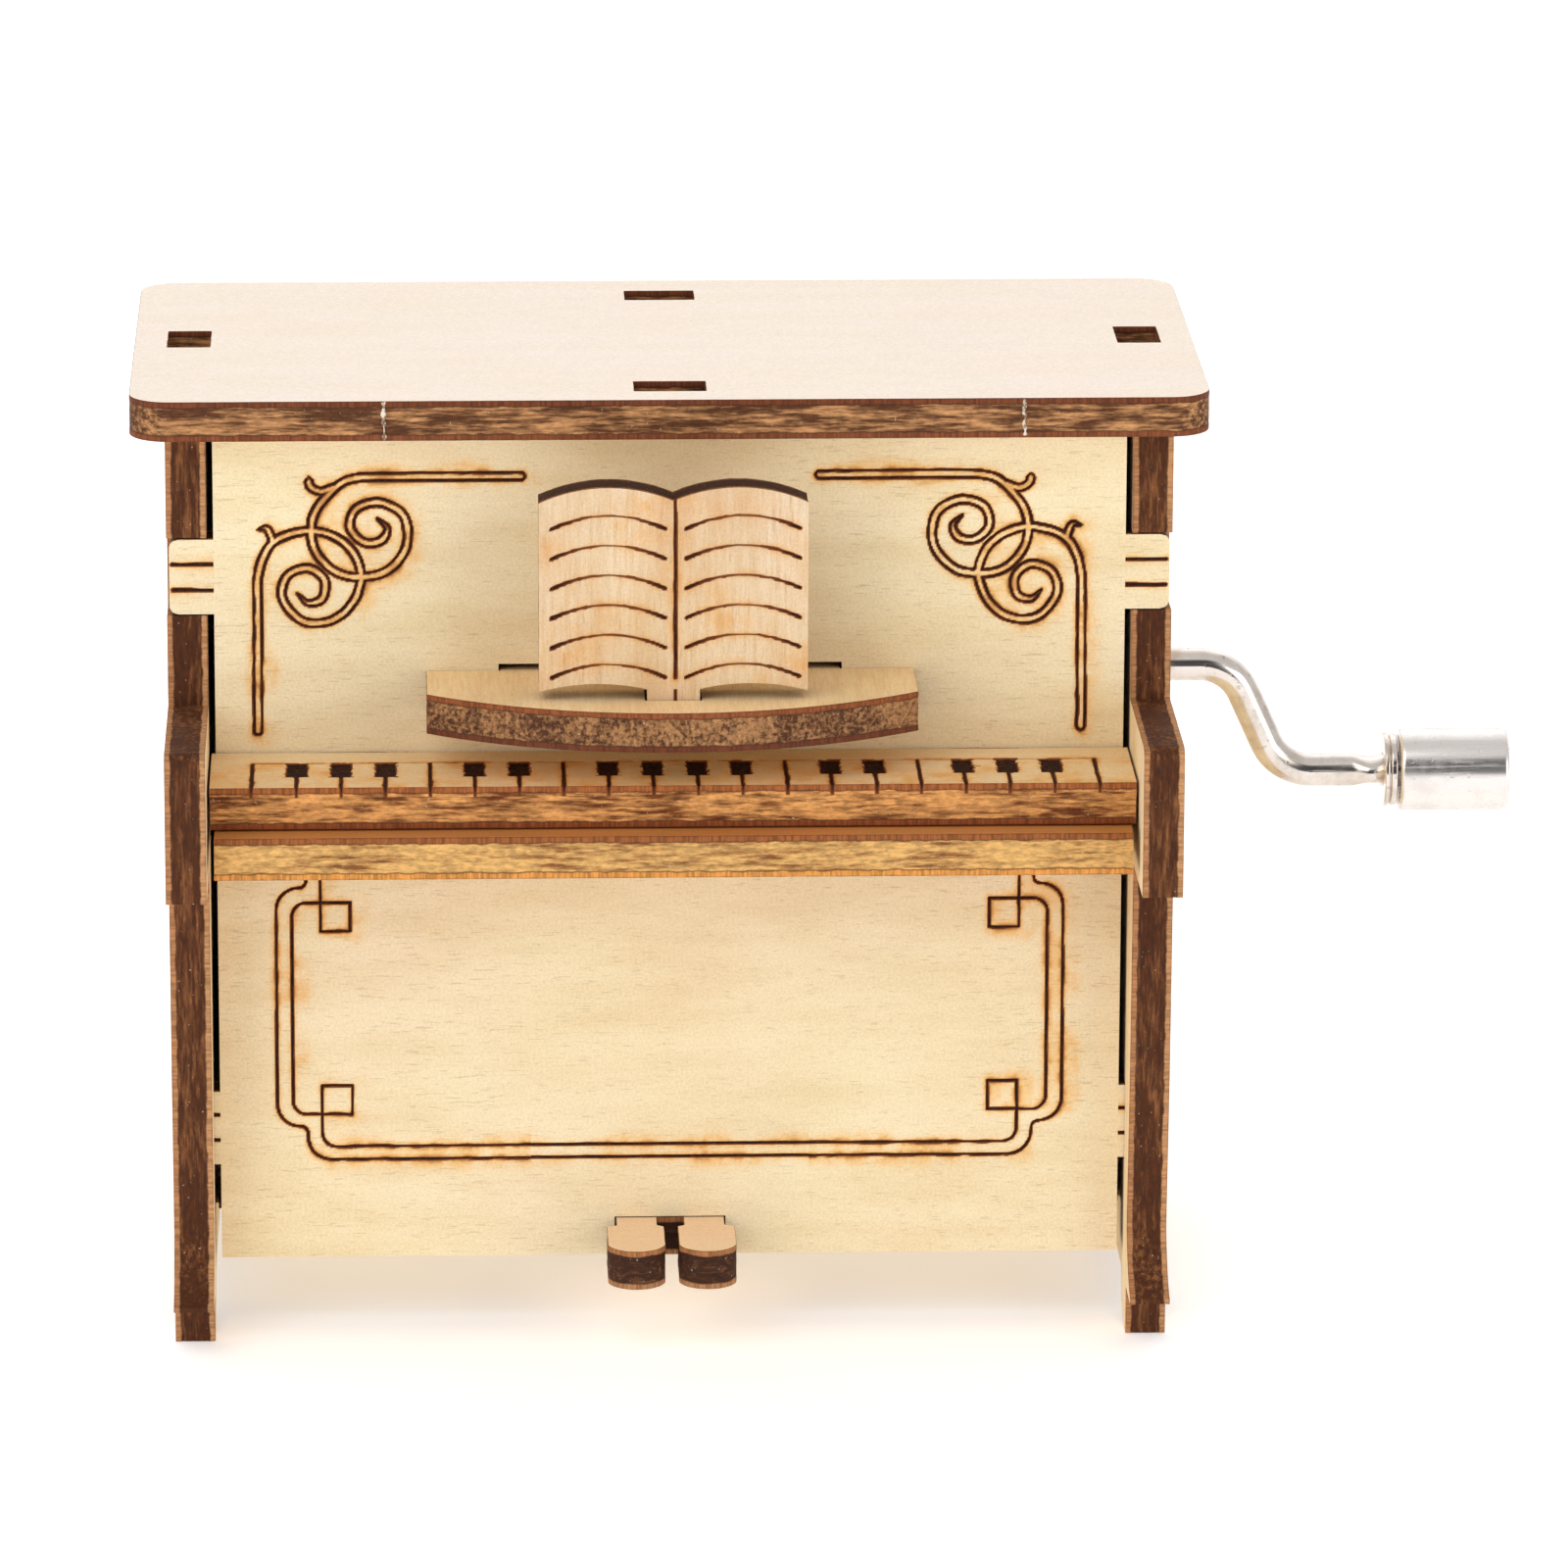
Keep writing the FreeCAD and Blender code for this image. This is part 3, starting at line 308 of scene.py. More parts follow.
def engraved(u, v, lines, ribbons, seed, width=0.13, wander=0.03, drift=0.45):
    """Distance to the laser's path, in millimetres, from plain lines and from the joined outline of ribbons.
    A ribbon is (curve, half width, taper length as a share): its outline is where distance equals half width.
    Smoke drifts the scorch along u. Returns how burnt and how scorched each point is, both 0 to 1."""
    shake_u = u + wander * ripple_plane(u * 1.3, v * 1.3, seed)
    shake_v = v + wander * ripple_plane(u * 1.3 + 9, v * 1.3 + 9, seed + 1)

    def distances(across, up):
        gap = np.full(u.shape, 9.0)
        for line in lines:
            gap = np.minimum(gap, nearest(across, up, line)[0])
        body = np.full(u.shape, 9.0)
        for curve, half, taper in ribbons:
            away, along = nearest(across, up, curve)
            fade = np.clip((1 - along) / taper, 0, 1) ** 0.7 if taper else 1
            body = np.minimum(body, away - half * fade)
        return np.minimum(gap, np.abs(body)), body
    edge, body = distances(shake_u, shake_v)
    smoke = np.maximum(distances(shake_u - drift, shake_v)[0] - 0.1, 0) if drift else edge
    strength = 1 + 0.25 * ripple_plane(u * 0.8, v * 0.8, seed + 2)
    patchy = np.clip(0.55 + 0.7 * ripple_plane(u * 0.33, v * 0.33, seed + 3), 0.1, 1.2)
    burnt = np.clip(1.25 - edge / (width * strength), 0, 1)
    straw = np.minimum(0.62 * np.exp(-((smoke / 0.85) ** 2)) * patchy, 0.40)
    halo = 0.66 * np.exp(-((edge / (0.30 * strength)) ** 2)) + straw
    inside = np.clip(-body / 0.1, 0, 1) * 0.62
    return burnt * burnt * (3 - 2 * burnt), np.clip(np.maximum(halo, inside), 0, 1)


def bands(low, high, fine_bands, fine, coarse):
    """Grid lines from low to high, fine apart inside the given bands and coarse apart elsewhere."""
    stops = sorted({low, high, *[min(max(s, low), high) for band in fine_bands for s in band]})
    lines = []
    for a, b in zip(stops[:-1], stops[1:]):
        inside = any(band[0] <= (a + b) / 2 <= band[1] for band in fine_bands)
        count = max(1, round((b - a) / (fine if inside else coarse)))
        lines.append(np.linspace(a, b, count, endpoint=False))
    return np.concatenate([*lines, [high]])


def skin_piece(name, node, us, vs, place, thick, carve, material, slot, holes=(), warp=None):
    """An engraved face veneer: a grid of u by v lines whose front is sunk by the engraving's depth and whose
    back is flat, one veneer behind. Cells in a hole are left out, and every open side gets a wall.
    place puts (u, v, depth) into the case, and warp bends the grid onto a curved outline."""
    uu, vv = np.meshgrid(us, vs)
    keep = np.ones((len(vs) - 1, len(us) - 1), dtype=bool)
    cu, cv = (us[:-1] + us[1:]) / 2, (vs[:-1] + vs[1:]) / 2
    for u0, v0, u1, v1 in holes:
        keep &= ~((cv[:, None] > v0) & (cv[:, None] < v1) & (cu[None] > u0) & (cu[None] < u1))
    if warp:
        uu, vv = warp(uu, vv)
    burnt, scorch, depth = carve(uu, vv)
    columns = len(us)
    total = uu.size
    i, j = np.nonzero(keep)
    a = i * columns + j
    faces = thickened(np.stack([a, a + 1, a + columns + 1, a + columns], -1), total)
    flat = uu.ravel(), vv.ravel()
    points = np.concatenate([place(*flat, depth.ravel()), place(*flat, thick)])
    used = np.unique(faces)
    renumber = np.zeros(len(points), dtype=int)
    renumber[used] = np.arange(len(used))
    values = {
        "burnt": np.concatenate([burnt.ravel(), burnt.ravel() * 0.6])[used],
        "scorch": np.concatenate([scorch.ravel(), np.maximum(scorch.ravel(), 0.5)])[used],
    }
    faces = renumber[faces].tolist()
    return make_piece(name, points[used], faces, CASE, [node], material, values)


def upright(front):
    """Where a point of an upright sheet lies in the case: millimetres across from the middle, up from the
    table, and back from its front face."""
    def place(across, up, depth):
        depth = np.broadcast_to(depth, np.shape(across))
        return np.stack([MIDDLE + across * MM, front + depth * MM, up * MM], -1)
    return place


def lying(top):
    """Where a point of a lying sheet lies in the case: millimetres across from the middle, forward from the
    front panel, and down from its top face."""
    def place(across, forward, depth):
        depth = np.broadcast_to(depth, np.shape(across))
        return np.stack([MIDDLE + across * MM, FRONT - forward * MM, top - depth * MM], -1)
    return place


# ---------------------------------------------------------------- shader helpers
def add_node(tree, kind, values=None, **settings):
    """One shader node. values maps an input's name or number to a number, a colour or another node's output."""
    node = tree.nodes.new(kind)
    for key, value in settings.items():
        setattr(node, key, value)
    for key, value in (values or {}).items():
        if isinstance(value, bpy.types.NodeSocket):
            tree.links.new(value, node.inputs[key])
        else:
            node.inputs[key].default_value = value
    return node


def math_node(tree, operation, a, b=0.0, clamp=False):
    """One step of arithmetic on two values."""
    node = add_node(tree, "ShaderNodeMath", {0: a, 1: b}, operation=operation, use_clamp=clamp)
    return node.outputs[0]


def plus(tree, a, b):
    """The sum of two values."""
    return math_node(tree, "ADD", a, b)


def minus(tree, a, b):
    """The first value less the second."""
    return math_node(tree, "SUBTRACT", a, b)


def times(tree, a, b, clamp=False):
    """The product of two values, held between 0 and 1 when clamp is set."""
    return math_node(tree, "MULTIPLY", a, b, clamp)


def size_of(tree, a):
    """A value without its sign."""
    return math_node(tree, "ABSOLUTE", a)


def ranged(tree, value, low, high, to_low=0.0, to_high=1.0):
    """A value mapped smoothly from one range to another, and held at its ends."""
    limits = {"From Min": low, "From Max": high, "To Min": to_low, "To Max": to_high}
    node = add_node(tree, "ShaderNodeMapRange", {"Value": value, **limits},
                    interpolation_type="SMOOTHSTEP")
    return node.outputs["Result"]


def blended(tree, share, first, second, mode="MIX"):
    """Two colours mixed by share, 0 for the first and 1 for the second."""
    node = add_node(tree, "ShaderNodeMix", data_type="RGBA", blend_type=mode, clamp_factor=True)
    for index, value in ((0, share), (6, first), (7, second)):
        if isinstance(value, bpy.types.NodeSocket):
            tree.links.new(value, node.inputs[index])
        else:
            node.inputs[index].default_value = value
    return node.outputs[2]


def grey(tree, value):
    """A colour with the same value in each channel."""
    channels = dict.fromkeys(("Red", "Green", "Blue"), value)
    return add_node(tree, "ShaderNodeCombineColor", channels).outputs[0]


def shaded(tree, colour, shade):
    """A colour made darker or lighter by a value near 1."""
    return blended(tree, 1.0, colour, grey(tree, shade), "MULTIPLY")


def stretched(tree, vector, scale, turn=(0.0, 0.0, 0.0)):
    """Coordinates turned and then scaled, so that a pattern is stretched the other way."""
    values = {"Vector": vector, "Scale": scale, "Rotation": turn}
    return add_node(tree, "ShaderNodeMapping", values).outputs[0]


def noise(tree, vector, scale, detail=3.0, roughness=0.55, output="Fac"):
    """Smooth noise, as a value or a colour, with about scale waves to the metre."""
    values = {"Vector": vector, "Scale": scale, "Detail": detail, "Roughness": roughness}
    return add_node(tree, "ShaderNodeTexNoise", values).outputs[output]


def start_group(name, inputs, outputs):
    """A shader node group with named sockets. Colours are given as three numbers."""
    tree = bpy.data.node_groups.new(name, "ShaderNodeTree")
    for key, default in inputs.items():
        kind = "NodeSocketFloat" if isinstance(default, float) else "NodeSocketColor"
        if key in ("Vector", "Grain"):
            kind = "NodeSocketVector"
        socket = tree.interface.new_socket(name=key, in_out="INPUT", socket_type=kind)
        socket.default_value = (*default, 1.0) if kind == "NodeSocketColor" else default
    for key, kind in outputs.items():
        tree.interface.new_socket(name=key, in_out="OUTPUT", socket_type=kind)
    return tree, tree.nodes.new("NodeGroupInput").outputs, tree.nodes.new("NodeGroupOutput")


def finish_group(tree, out, results):
    """Joins the results to the group's outputs by name."""
    for key, value in results.items():
        tree.links.new(value, out.inputs[key])


def grouped(tree, group, values):
    """Places a node group in a material with its own values, and returns its outputs."""
    node = tree.nodes.new("ShaderNodeGroup")
    node.node_tree = bpy.data.node_groups[group]
    for key, value in values.items():
        if isinstance(value, bpy.types.NodeSocket):
            tree.links.new(value, node.inputs[key])
        else:
            node.inputs[key].default_value = (*value, 1.0) if len(np.shape(value)) else value
    return node.outputs


COLOUR, VALUE = "NodeSocketColor", "NodeSocketFloat"


def build_veneer_group():
    """Rotary-cut face veneer. The grain runs along X of the vector: broad pale and deep bands, fine short
    pores, and faint pink and yellow clouds."""
    inputs = {
        "Vector": (0.0, 0.0, 0.0),
        "Pale": (0.9, 0.8, 0.6),
        "Deep": (0.7, 0.5, 0.3),
        "Figure": 1.0,
        "Pores": 1.0,
        "Fibre": 0.2,
    }
    tree, given, out = start_group("Face Veneer", inputs, {"Color": COLOUR, "Height": VALUE})
    vector = given["Vector"]
    broad = noise(tree, stretched(tree, vector, (60.0, 260.0, 260.0)), 1.0, 4.0, 0.6)
    fibres = noise(tree, stretched(tree, vector, (240.0, 3600.0, 3600.0)), 1.0, 3.0, 0.7)
    pores = stretched(tree, vector, (800.0, 8600.0, 8600.0), (0.0, 0.03, 0.02))
    pores = noise(tree, pores, 1.0, 1.0, 0.4)
    clouds = noise(tree, vector, 75.0, 3.0, 0.5, "Color")
    grit = noise(tree, vector, 5200.0, 2.0, 0.6)
    share = times(tree, ranged(tree, broad, 0.35, 0.72), given["Figure"])
    colour = blended(tree, share, given["Pale"], given["Deep"])
    fine = times(tree, ranged(tree, fibres, 0.32, 0.72), given["Fibre"])
    colour = blended(tree, fine, colour, given["Deep"])
    mask = times(tree, ranged(tree, pores, 0.63, 0.74), given["Pores"])
    dashes = times(tree, mask, 0.30)
    colour = blended(tree, dashes, colour, (0.42, 0.27, 0.13, 1.0))
    colour = blended(tree, 0.10, colour, clouds, "SOFT_LIGHT")
    colour = shaded(tree, colour, ranged(tree, grit, 0.3, 0.7, 0.93, 1.05))
    sunk = times(tree, mask, -0.6)
    height = plus(tree, sunk, times(tree, fibres, 0.7))
    height = plus(tree, height, times(tree, grit, 0.35))
    finish_group(tree, out, {"Color": colour, "Height": height})


def build_edge_group():
    """A laser-cut edge through three layers. Depth is 0 on the low face and 1 on the high face: a reddish
    veneer at each side, a dark glue line, and a core from charred brown to golden, streaked along the cut."""
    inputs = {
        "Vector": (0.0, 0.0, 0.0),
        "Grain": (0.0, 0.0, 0.0),
        "Depth": 0.5,
        "Low Skin": (0.3, 0.12, 0.05),
        "High Skin": (0.3, 0.12, 0.05),
        "Core Dark": (0.05, 0.03, 0.02),
        "Core Gold": (0.5, 0.3, 0.12),
        "Gold Share": 0.4,
        "Skin": 0.14,
    }
    outputs = {"Color": COLOUR, "Height": VALUE, "Roughness": VALUE}
    tree, given, out = start_group("Cut Edge", inputs, outputs)
    vector = given["Vector"]
    wander = noise(tree, vector, 900.0, 3.0, 0.6)
    depth = plus(tree, given["Depth"], ranged(tree, wander, 0.2, 0.8, -0.025, 0.025))
    mirrored = minus(tree, 1.0, depth)
    nearer = math_node(tree, "MINIMUM", depth, mirrored)
    streaks = noise(tree, stretched(tree, given["Grain"], (360.0, 3100.0, 3100.0)), 1.0, 4.0, 0.65)
    blotch = noise(tree, stretched(tree, given["Grain"], (120.0, 330.0, 330.0)), 1.0, 3.0, 0.6)
    mottle = noise(tree, stretched(tree, given["Grain"], (1300.0, 3600.0, 3600.0)), 1.0, 3.0, 0.65)
    mix = plus(tree, times(tree, streaks, 0.62), times(tree, blotch, 0.38))
    low = minus(tree, 0.78, times(tree, given["Gold Share"], 0.52))
    gold = minus(tree, mix, low)
    gold = ranged(tree, gold, -0.09, 0.11)
    core = blended(tree, gold, given["Core Dark"], given["Core Gold"])
    core = shaded(tree, core, ranged(tree, mottle, 0.3, 0.7, 0.66, 1.16))
    flecks = ranged(tree, noise(tree, vector, 4200.0, 1.0, 0.5), 0.74, 0.78)
    core = blended(tree, times(tree, flecks, 0.55), core, (0.62, 0.5, 0.36, 1.0))
    combed = noise(tree, stretched(tree, vector, (5200.0, 5200.0, 500.0)), 1.0, 2.0, 0.6)
    skins = blended(tree, ranged(tree, depth, 0.4, 0.6), given["Low Skin"], given["High Skin"])
    skins = shaded(tree, skins, ranged(tree, combed, 0.3, 0.7, 0.7, 1.3))
    edge = minus(tree, nearer, given["Skin"])
    colour = blended(tree, ranged(tree, edge, -0.008, 0.012), skins, core)
    glue = minus(tree, 1.0, ranged(tree, size_of(tree, edge), 0.006, 0.03))
    colour = blended(tree, times(tree, glue, 0.6), colour, (0.05, 0.02, 0.012, 1.0))
    rim = minus(tree, 1.0, ranged(tree, nearer, 0.0, 0.035))
    colour = blended(tree, times(tree, rim, 0.45), colour, (0.10, 0.035, 0.015, 1.0))
    height = plus(tree, times(tree, mottle, 0.8), times(tree, streaks, 0.5))
    rough = ranged(tree, mottle, 0.3, 0.7, 0.55, 0.85)
    finish_group(tree, out, {"Color": colour, "Height": height, "Roughness": rough})


def build_scorch_group():
    """Laser burn over a wood colour. Scorch tints from straw to orange brown; Burnt goes to near black."""
    inputs = {"Vector": (0.0, 0.0, 0.0), "Wood": (0.8, 0.7, 0.5), "Burnt": 0.0, "Scorch": 0.0}
    tree, given, out = start_group("Laser Scorch", inputs, {"Color": COLOUR, "Roughness": VALUE})
    uneven = noise(tree, given["Vector"], 700.0, 3.0, 0.6)
    scorch = times(tree, given["Scorch"], ranged(tree, uneven, 0.25, 0.7, 0.35, 1.25), True)
    warm = blended(tree, 1.0, given["Wood"], (0.98, 0.70, 0.38, 1.0), "MULTIPLY")
    colour = blended(tree, ranged(tree, scorch, 0.0, 0.75), given["Wood"], warm)
    brown = (0.40, 0.14, 0.035, 1.0)
    colour = blended(tree, ranged(tree, scorch, 0.5, 1.1, 0.0, 0.8), colour, brown)
    toasted = (0.19, 0.05, 0.012, 1.0)
    soot, ember = (0.022, 0.007, 0.004, 1.0), (0.085, 0.028, 0.012, 1.0)
    colour = blended(tree, ranged(tree, given["Burnt"], 0.08, 0.45), colour, toasted)
    grit = noise(tree, given["Vector"], 3800.0, 2.0, 0.6)
    char = blended(tree, ranged(tree, grit, 0.45, 0.8), soot, ember)
    colour = blended(tree, ranged(tree, given["Burnt"], 0.4, 0.9), colour, char)
    rough = ranged(tree, given["Burnt"], 0.2, 0.8, 0.62, 0.85)
    finish_group(tree, out, {"Color": colour, "Roughness": rough})


def build_metal_group():
    """Plated metal: mottled tone, long fine scratches and small nicks that dull the shine."""
    inputs = {
        "Vector": (0.0, 0.0, 0.0),
        "Bright": (0.8, 0.8, 0.78),
        "Dull": (0.5, 0.48, 0.45),
        "Rough": 0.2,
        "Wear": 0.5,
    }
    outputs = {"Color": COLOUR, "Roughness": VALUE, "Height": VALUE}
    tree, given, out = start_group("Plated Metal", inputs, outputs)
    vector = given["Vector"]
    cloud = noise(tree, vector, 420.0, 4.0, 0.6)
    scratch = stretched(tree, vector, (200.0, 5200.0, 5200.0), (0.2, 0.5, 0.35))
    scratch = noise(tree, scratch, 1.0, 2.0, 0.6)
    nicks = ranged(tree, noise(tree, vector, 1500.0, 1.0, 0.5), 0.70, 0.74)
    worn = times(tree, ranged(tree, cloud, 0.42, 0.7), given["Wear"])
    colour = blended(tree, worn, given["Bright"], given["Dull"])
    colour = blended(tree, times(tree, nicks, given["Wear"]), colour, given["Dull"])
    rough = plus(tree, given["Rough"], times(tree, worn, 0.22))
    rough = plus(tree, rough, ranged(tree, scratch, 0.5, 0.8, 0.0, 0.18))
    sunk = times(tree, plus(tree, ranged(tree, scratch, 0.6, 0.8), nicks), -1.0)
    finish_group(tree, out, {"Color": colour, "Roughness": rough, "Height": sunk})


# ---------------------------------------------------------------- materials
def new_material(name):
    """A material with an empty tree but for its shader, its output and the coordinates it reads."""
    material = bpy.data.materials.new(name)
    material.use_nodes = True
    tree = material.node_tree
    tree.nodes.clear()
    shader = add_node(tree, "ShaderNodeBsdfPrincipled")
    out = add_node(tree, "ShaderNodeOutputMaterial")
    tree.links.new(shader.outputs[0], out.inputs["Surface"])
    coordinates = add_node(tree, "ShaderNodeTexCoord")
    return material, tree, shader, coordinates


def bumped(tree, shader, height, strength, distance):
    """Feeds a height through a bump into the shader's normal."""
    values = {"Height": height, "Strength": strength, "Distance": distance}
    tree.links.new(add_node(tree, "ShaderNodeBump", values).outputs[0], shader.inputs["Normal"])


WOODS = {
    # name: (pale face, deep face, low skin, high skin,
    #        dark core, gold core, share of gold, figure, pores, fibre)
    "lid": ((0.97, 0.85, 0.74), (0.93, 0.77, 0.60), (0.20, 0.06, 0.022), (0.16, 0.045, 0.017),
            (0.105, 0.038, 0.015), (0.60, 0.295, 0.12), 0.50, 0.4, 0.2, 0.25),
    "panel": ((0.89, 0.75, 0.50), (0.80, 0.63, 0.37), (0.45, 0.2, 0.08), (0.45, 0.2, 0.08),
              (0.08, 0.04, 0.02), (0.4, 0.25, 0.12), 0.3, 0.8, 1.0, 0.2),
    "side": ((0.93, 0.77, 0.50), (0.80, 0.58, 0.32), (0.40, 0.18, 0.075), (0.46, 0.23, 0.10),
             (0.078, 0.024, 0.0085), (0.26, 0.10, 0.035), 0.42, 0.8, 1.0, 0.3),
    "key": ((0.85, 0.66, 0.40), (0.78, 0.52, 0.25), (0.22, 0.06, 0.017), (0.32, 0.10, 0.028),
            (0.15, 0.040, 0.011), (0.74, 0.35, 0.11), 0.60, 0.6, 0.6, 0.3),
    "bed": ((0.58, 0.24, 0.068), (0.45, 0.18, 0.05), (0.62, 0.26, 0.06), (0.28, 0.09, 0.026),
            (0.21, 0.068, 0.019), (0.70, 0.40, 0.135), 0.68, 0.6, 0.6, 0.3),
    "shelf": ((0.95, 0.72, 0.41), (0.80, 0.52, 0.25), (0.13, 0.036, 0.014), (0.24, 0.07, 0.022),
              (0.080, 0.028, 0.012), (0.42, 0.205, 0.082), 0.54, 0.5, 0.5, 0.6),
    "book": ((0.78, 0.615, 0.415), (0.64, 0.42, 0.22), (0.30, 0.11, 0.04), (0.16, 0.06, 0.03),
             (0.050, 0.020, 0.010), (0.12, 0.055, 0.03), 0.3, 0.8, 1.0, 0.55),
    "pedal": ((0.92, 0.71, 0.48), (0.86, 0.62, 0.38), (0.36, 0.17, 0.07), (0.36, 0.15, 0.055),
              (0.05, 0.018, 0.009), (0.19, 0.08, 0.034), 0.38, 0.4, 0.3, 0.3),
}
GRAIN_TURNS = {"x": (0.0, 0.0, 0.0), "y": (0.0, 0.0, math.pi / 2), "z": (0.0, math.pi / 2, 0.0)}
EDGE_TURNS = {"x": (0.0, math.pi / 2, 0.0), "y": (math.pi / 2, 0.0, 0.0), "z": (0.0, 0.0, 0.0)}


FACE_LEANS = 0.82


def plywood(name, wood, node, axis, grain, settings):
    """Plywood whose thickness lies along axis and whose face grain runs along grain. The face or the cut edge
    is chosen by which way the surface faces; the burn comes from the piece's own attributes."""
    deep, low_skin, high_skin, dark, gold, share, figure, pores, fibre = WOODS[wood][1:]
    pale = tuple(getattr(settings, wood + "_colour"))
    low, high = span(node)
    number = "xyz".index(axis)
    material, tree, shader, coordinates = new_material(name)
    place = coordinates.outputs["Object"]
    face = grouped(tree, "Face Veneer", {
        "Vector": stretched(tree, place, (1.0, 1.0, 1.0), GRAIN_TURNS[grain]),
        "Pale": pale, "Deep": deep, "Figure": figure, "Pores": pores, "Fibre": fibre,
    })
    split = add_node(tree, "ShaderNodeSeparateXYZ", {0: place}).outputs
    depth = add_node(tree, "ShaderNodeMapRange", {
        "Value": split[number], "From Min": low[number], "From Max": high[number],
    }).outputs["Result"]
    cut = grouped(tree, "Cut Edge", {
        "Vector": stretched(tree, place, (1.0, 1.0, 1.0), EDGE_TURNS[axis]),
        "Grain": stretched(tree, place, (1.0, 1.0, 1.0), GRAIN_TURNS[grain]), "Depth": depth,
        "Low Skin": low_skin, "High Skin": high_skin, "Core Dark": dark, "Core Gold": gold,
        "Gold Share": share, "Skin": 0.15,
    })
    normal = add_node(tree, "ShaderNodeSeparateXYZ", {0: coordinates.outputs["Normal"]})
    edge = math_node(tree, "LESS_THAN", size_of(tree, normal.outputs[number]), FACE_LEANS)
    # on the keyboard's veneer the burnt attribute also carries painted shade: a dark line in its joint with the
    # front panel
    burnt = add_node(tree, "ShaderNodeAttribute", attribute_name="burnt").outputs["Fac"]
    scorch = add_node(tree, "ShaderNodeAttribute", attribute_name="scorch").outputs["Fac"]
    wood_colour = blended(tree, edge, face["Color"], cut["Color"])
    scorch = times(tree, scorch, minus(tree, 1.0, edge))
    burn = grouped(tree, "Laser Scorch", {
        "Vector": place, "Wood": wood_colour, "Burnt": burnt, "Scorch": scorch,
    })
    tree.links.new(burn["Color"], shader.inputs["Base Color"])
    rough = times(tree, cut["Roughness"], edge)
    rough = math_node(tree, "MAXIMUM", rough, burn["Roughness"])
    tree.links.new(rough, shader.inputs["Roughness"])
    height = add_node(tree, "ShaderNodeMix", {0: edge, 2: face["Height"], 3: cut["Height"]})
    bumped(tree, shader, height.outputs[0], 0.35, 0.08 * MM)
    shader.inputs["Specular IOR Level"].default_value = 0.15
    return material


def plated(name, bright, dull, rough, wear, metallic=1.0, bump=0.15):
    """Metal, or plastic where metallic is 0, that goes from its bright tone to a dull one where worn."""
    material, tree, shader, coordinates = new_material(name)
    metal = grouped(tree, "Plated Metal", {
        "Vector": coordinates.outputs["Object"], "Bright": bright, "Dull": dull, "Rough": rough,
        "Wear": wear,
    })
    tree.links.new(metal["Color"], shader.inputs["Base Color"])
    tree.links.new(metal["Roughness"], shader.inputs["Roughness"])
    shader.inputs["Metallic"].default_value = metallic
    bumped(tree, shader, metal["Height"], bump, 0.05 * MM)
    return material


# ---------------------------------------------------------------- front panel
def frame_lines():
    """The double frame low on the panel: its left half, in millimetres from the middle and above the table."""
    outer = np.concatenate([
        [(-27.3, 37.0)],
        corner((-27.85, 35.1), 0.55, 0, -90),
        corner((-27.8, 32.8), 1.75, 90, 180),
        corner((-27.85, 17.6), 1.75, 180, 270),
        corner((-27.85, 15.3), 0.55, 90, 0),
        corner((-25.5, 15.0), 1.8, 180, 270),
        [(0.0, 13.25)],
    ])
    upper = np.concatenate([
        [(-26.22, 37.0), (-26.24, 31.13), (-24.02, 31.12), (-24.0, 33.37)],
        corner((-27.3, 32.3), 1.07, 90, 180),
        corner((-27.33, 17.85), 1.07, 180, 270),
        [(-23.97, 16.76), (-23.95, 19.03), (-26.2, 19.04)],
        corner((-25.12, 15.3), 1.08, 180, 270),
        [(0.0, 14.26)],
    ])
    return [outer, upper]


def scroll_ribbons():
    """The scrolls of the left upper corner, each a curve with its half width and taper."""
    high = np.concatenate([[(-11.1, 66.15)], smooth_curve([
        (-20.4, 66.17), (-22.0, 66.16), (-23.3, 66.06), (-24.6, 65.55), (-26.2, 63.75),
        (-26.65, 61.9), (-26.2, 60.3), (-25.0, 59.0), (-23.2, 58.5), (-21.0, 59.0),
        (-19.6, 60.8), (-19.75, 63.1), (-21.5, 64.2), (-23.3, 63.7), (-23.75, 62.3),
        (-22.8, 61.2), (-21.5, 61.25), (-21.0, 62.2), (-21.75, 63.0),
    ])])
    low = np.concatenate([[(-30.72, 46.7)], smooth_curve([
        (-30.66, 56.6), (-30.64, 58.2), (-30.25, 60.0), (-29.2, 61.4), (-27.2, 62.05),
        (-25.2, 61.75), (-23.6, 60.5), (-22.95, 58.5), (-23.7, 56.4), (-25.3, 55.15),
        (-27.4, 55.2), (-28.8, 56.9), (-28.45, 58.6), (-26.9, 59.2), (-25.7, 58.3),
        (-25.85, 56.9), (-26.9, 56.55), (-27.7, 57.3),
    ])])
    high_leaf = smooth_curve([(-25.0, 65.35), (-25.9, 65.08), (-26.65, 65.45), (-26.8, 66.15)])
    low_leaf = smooth_curve([(-29.5, 61.1), (-29.62, 61.7), (-29.95, 62.28), (-30.6, 62.2)])
    return [(high, RIBBON_HALF, 0.1), (low, RIBBON_HALF, 0.1), (high_leaf, 0.27, 0.12),
            (low_leaf, 0.25, 0.45)]


EAR_LINES = {"lower_ear": (16.8, 14.8), "upper_ear": (59.55, 57.58)}
EAR_LINE_ENDS = (33.95, 36.95)
EAR_STARTS = 36
BODY_HALF = 34.3
MIDDLE_HALF = 10.5
RIBBON_HALF = 0.29
FINE = 0.11
COARSE = 0.5


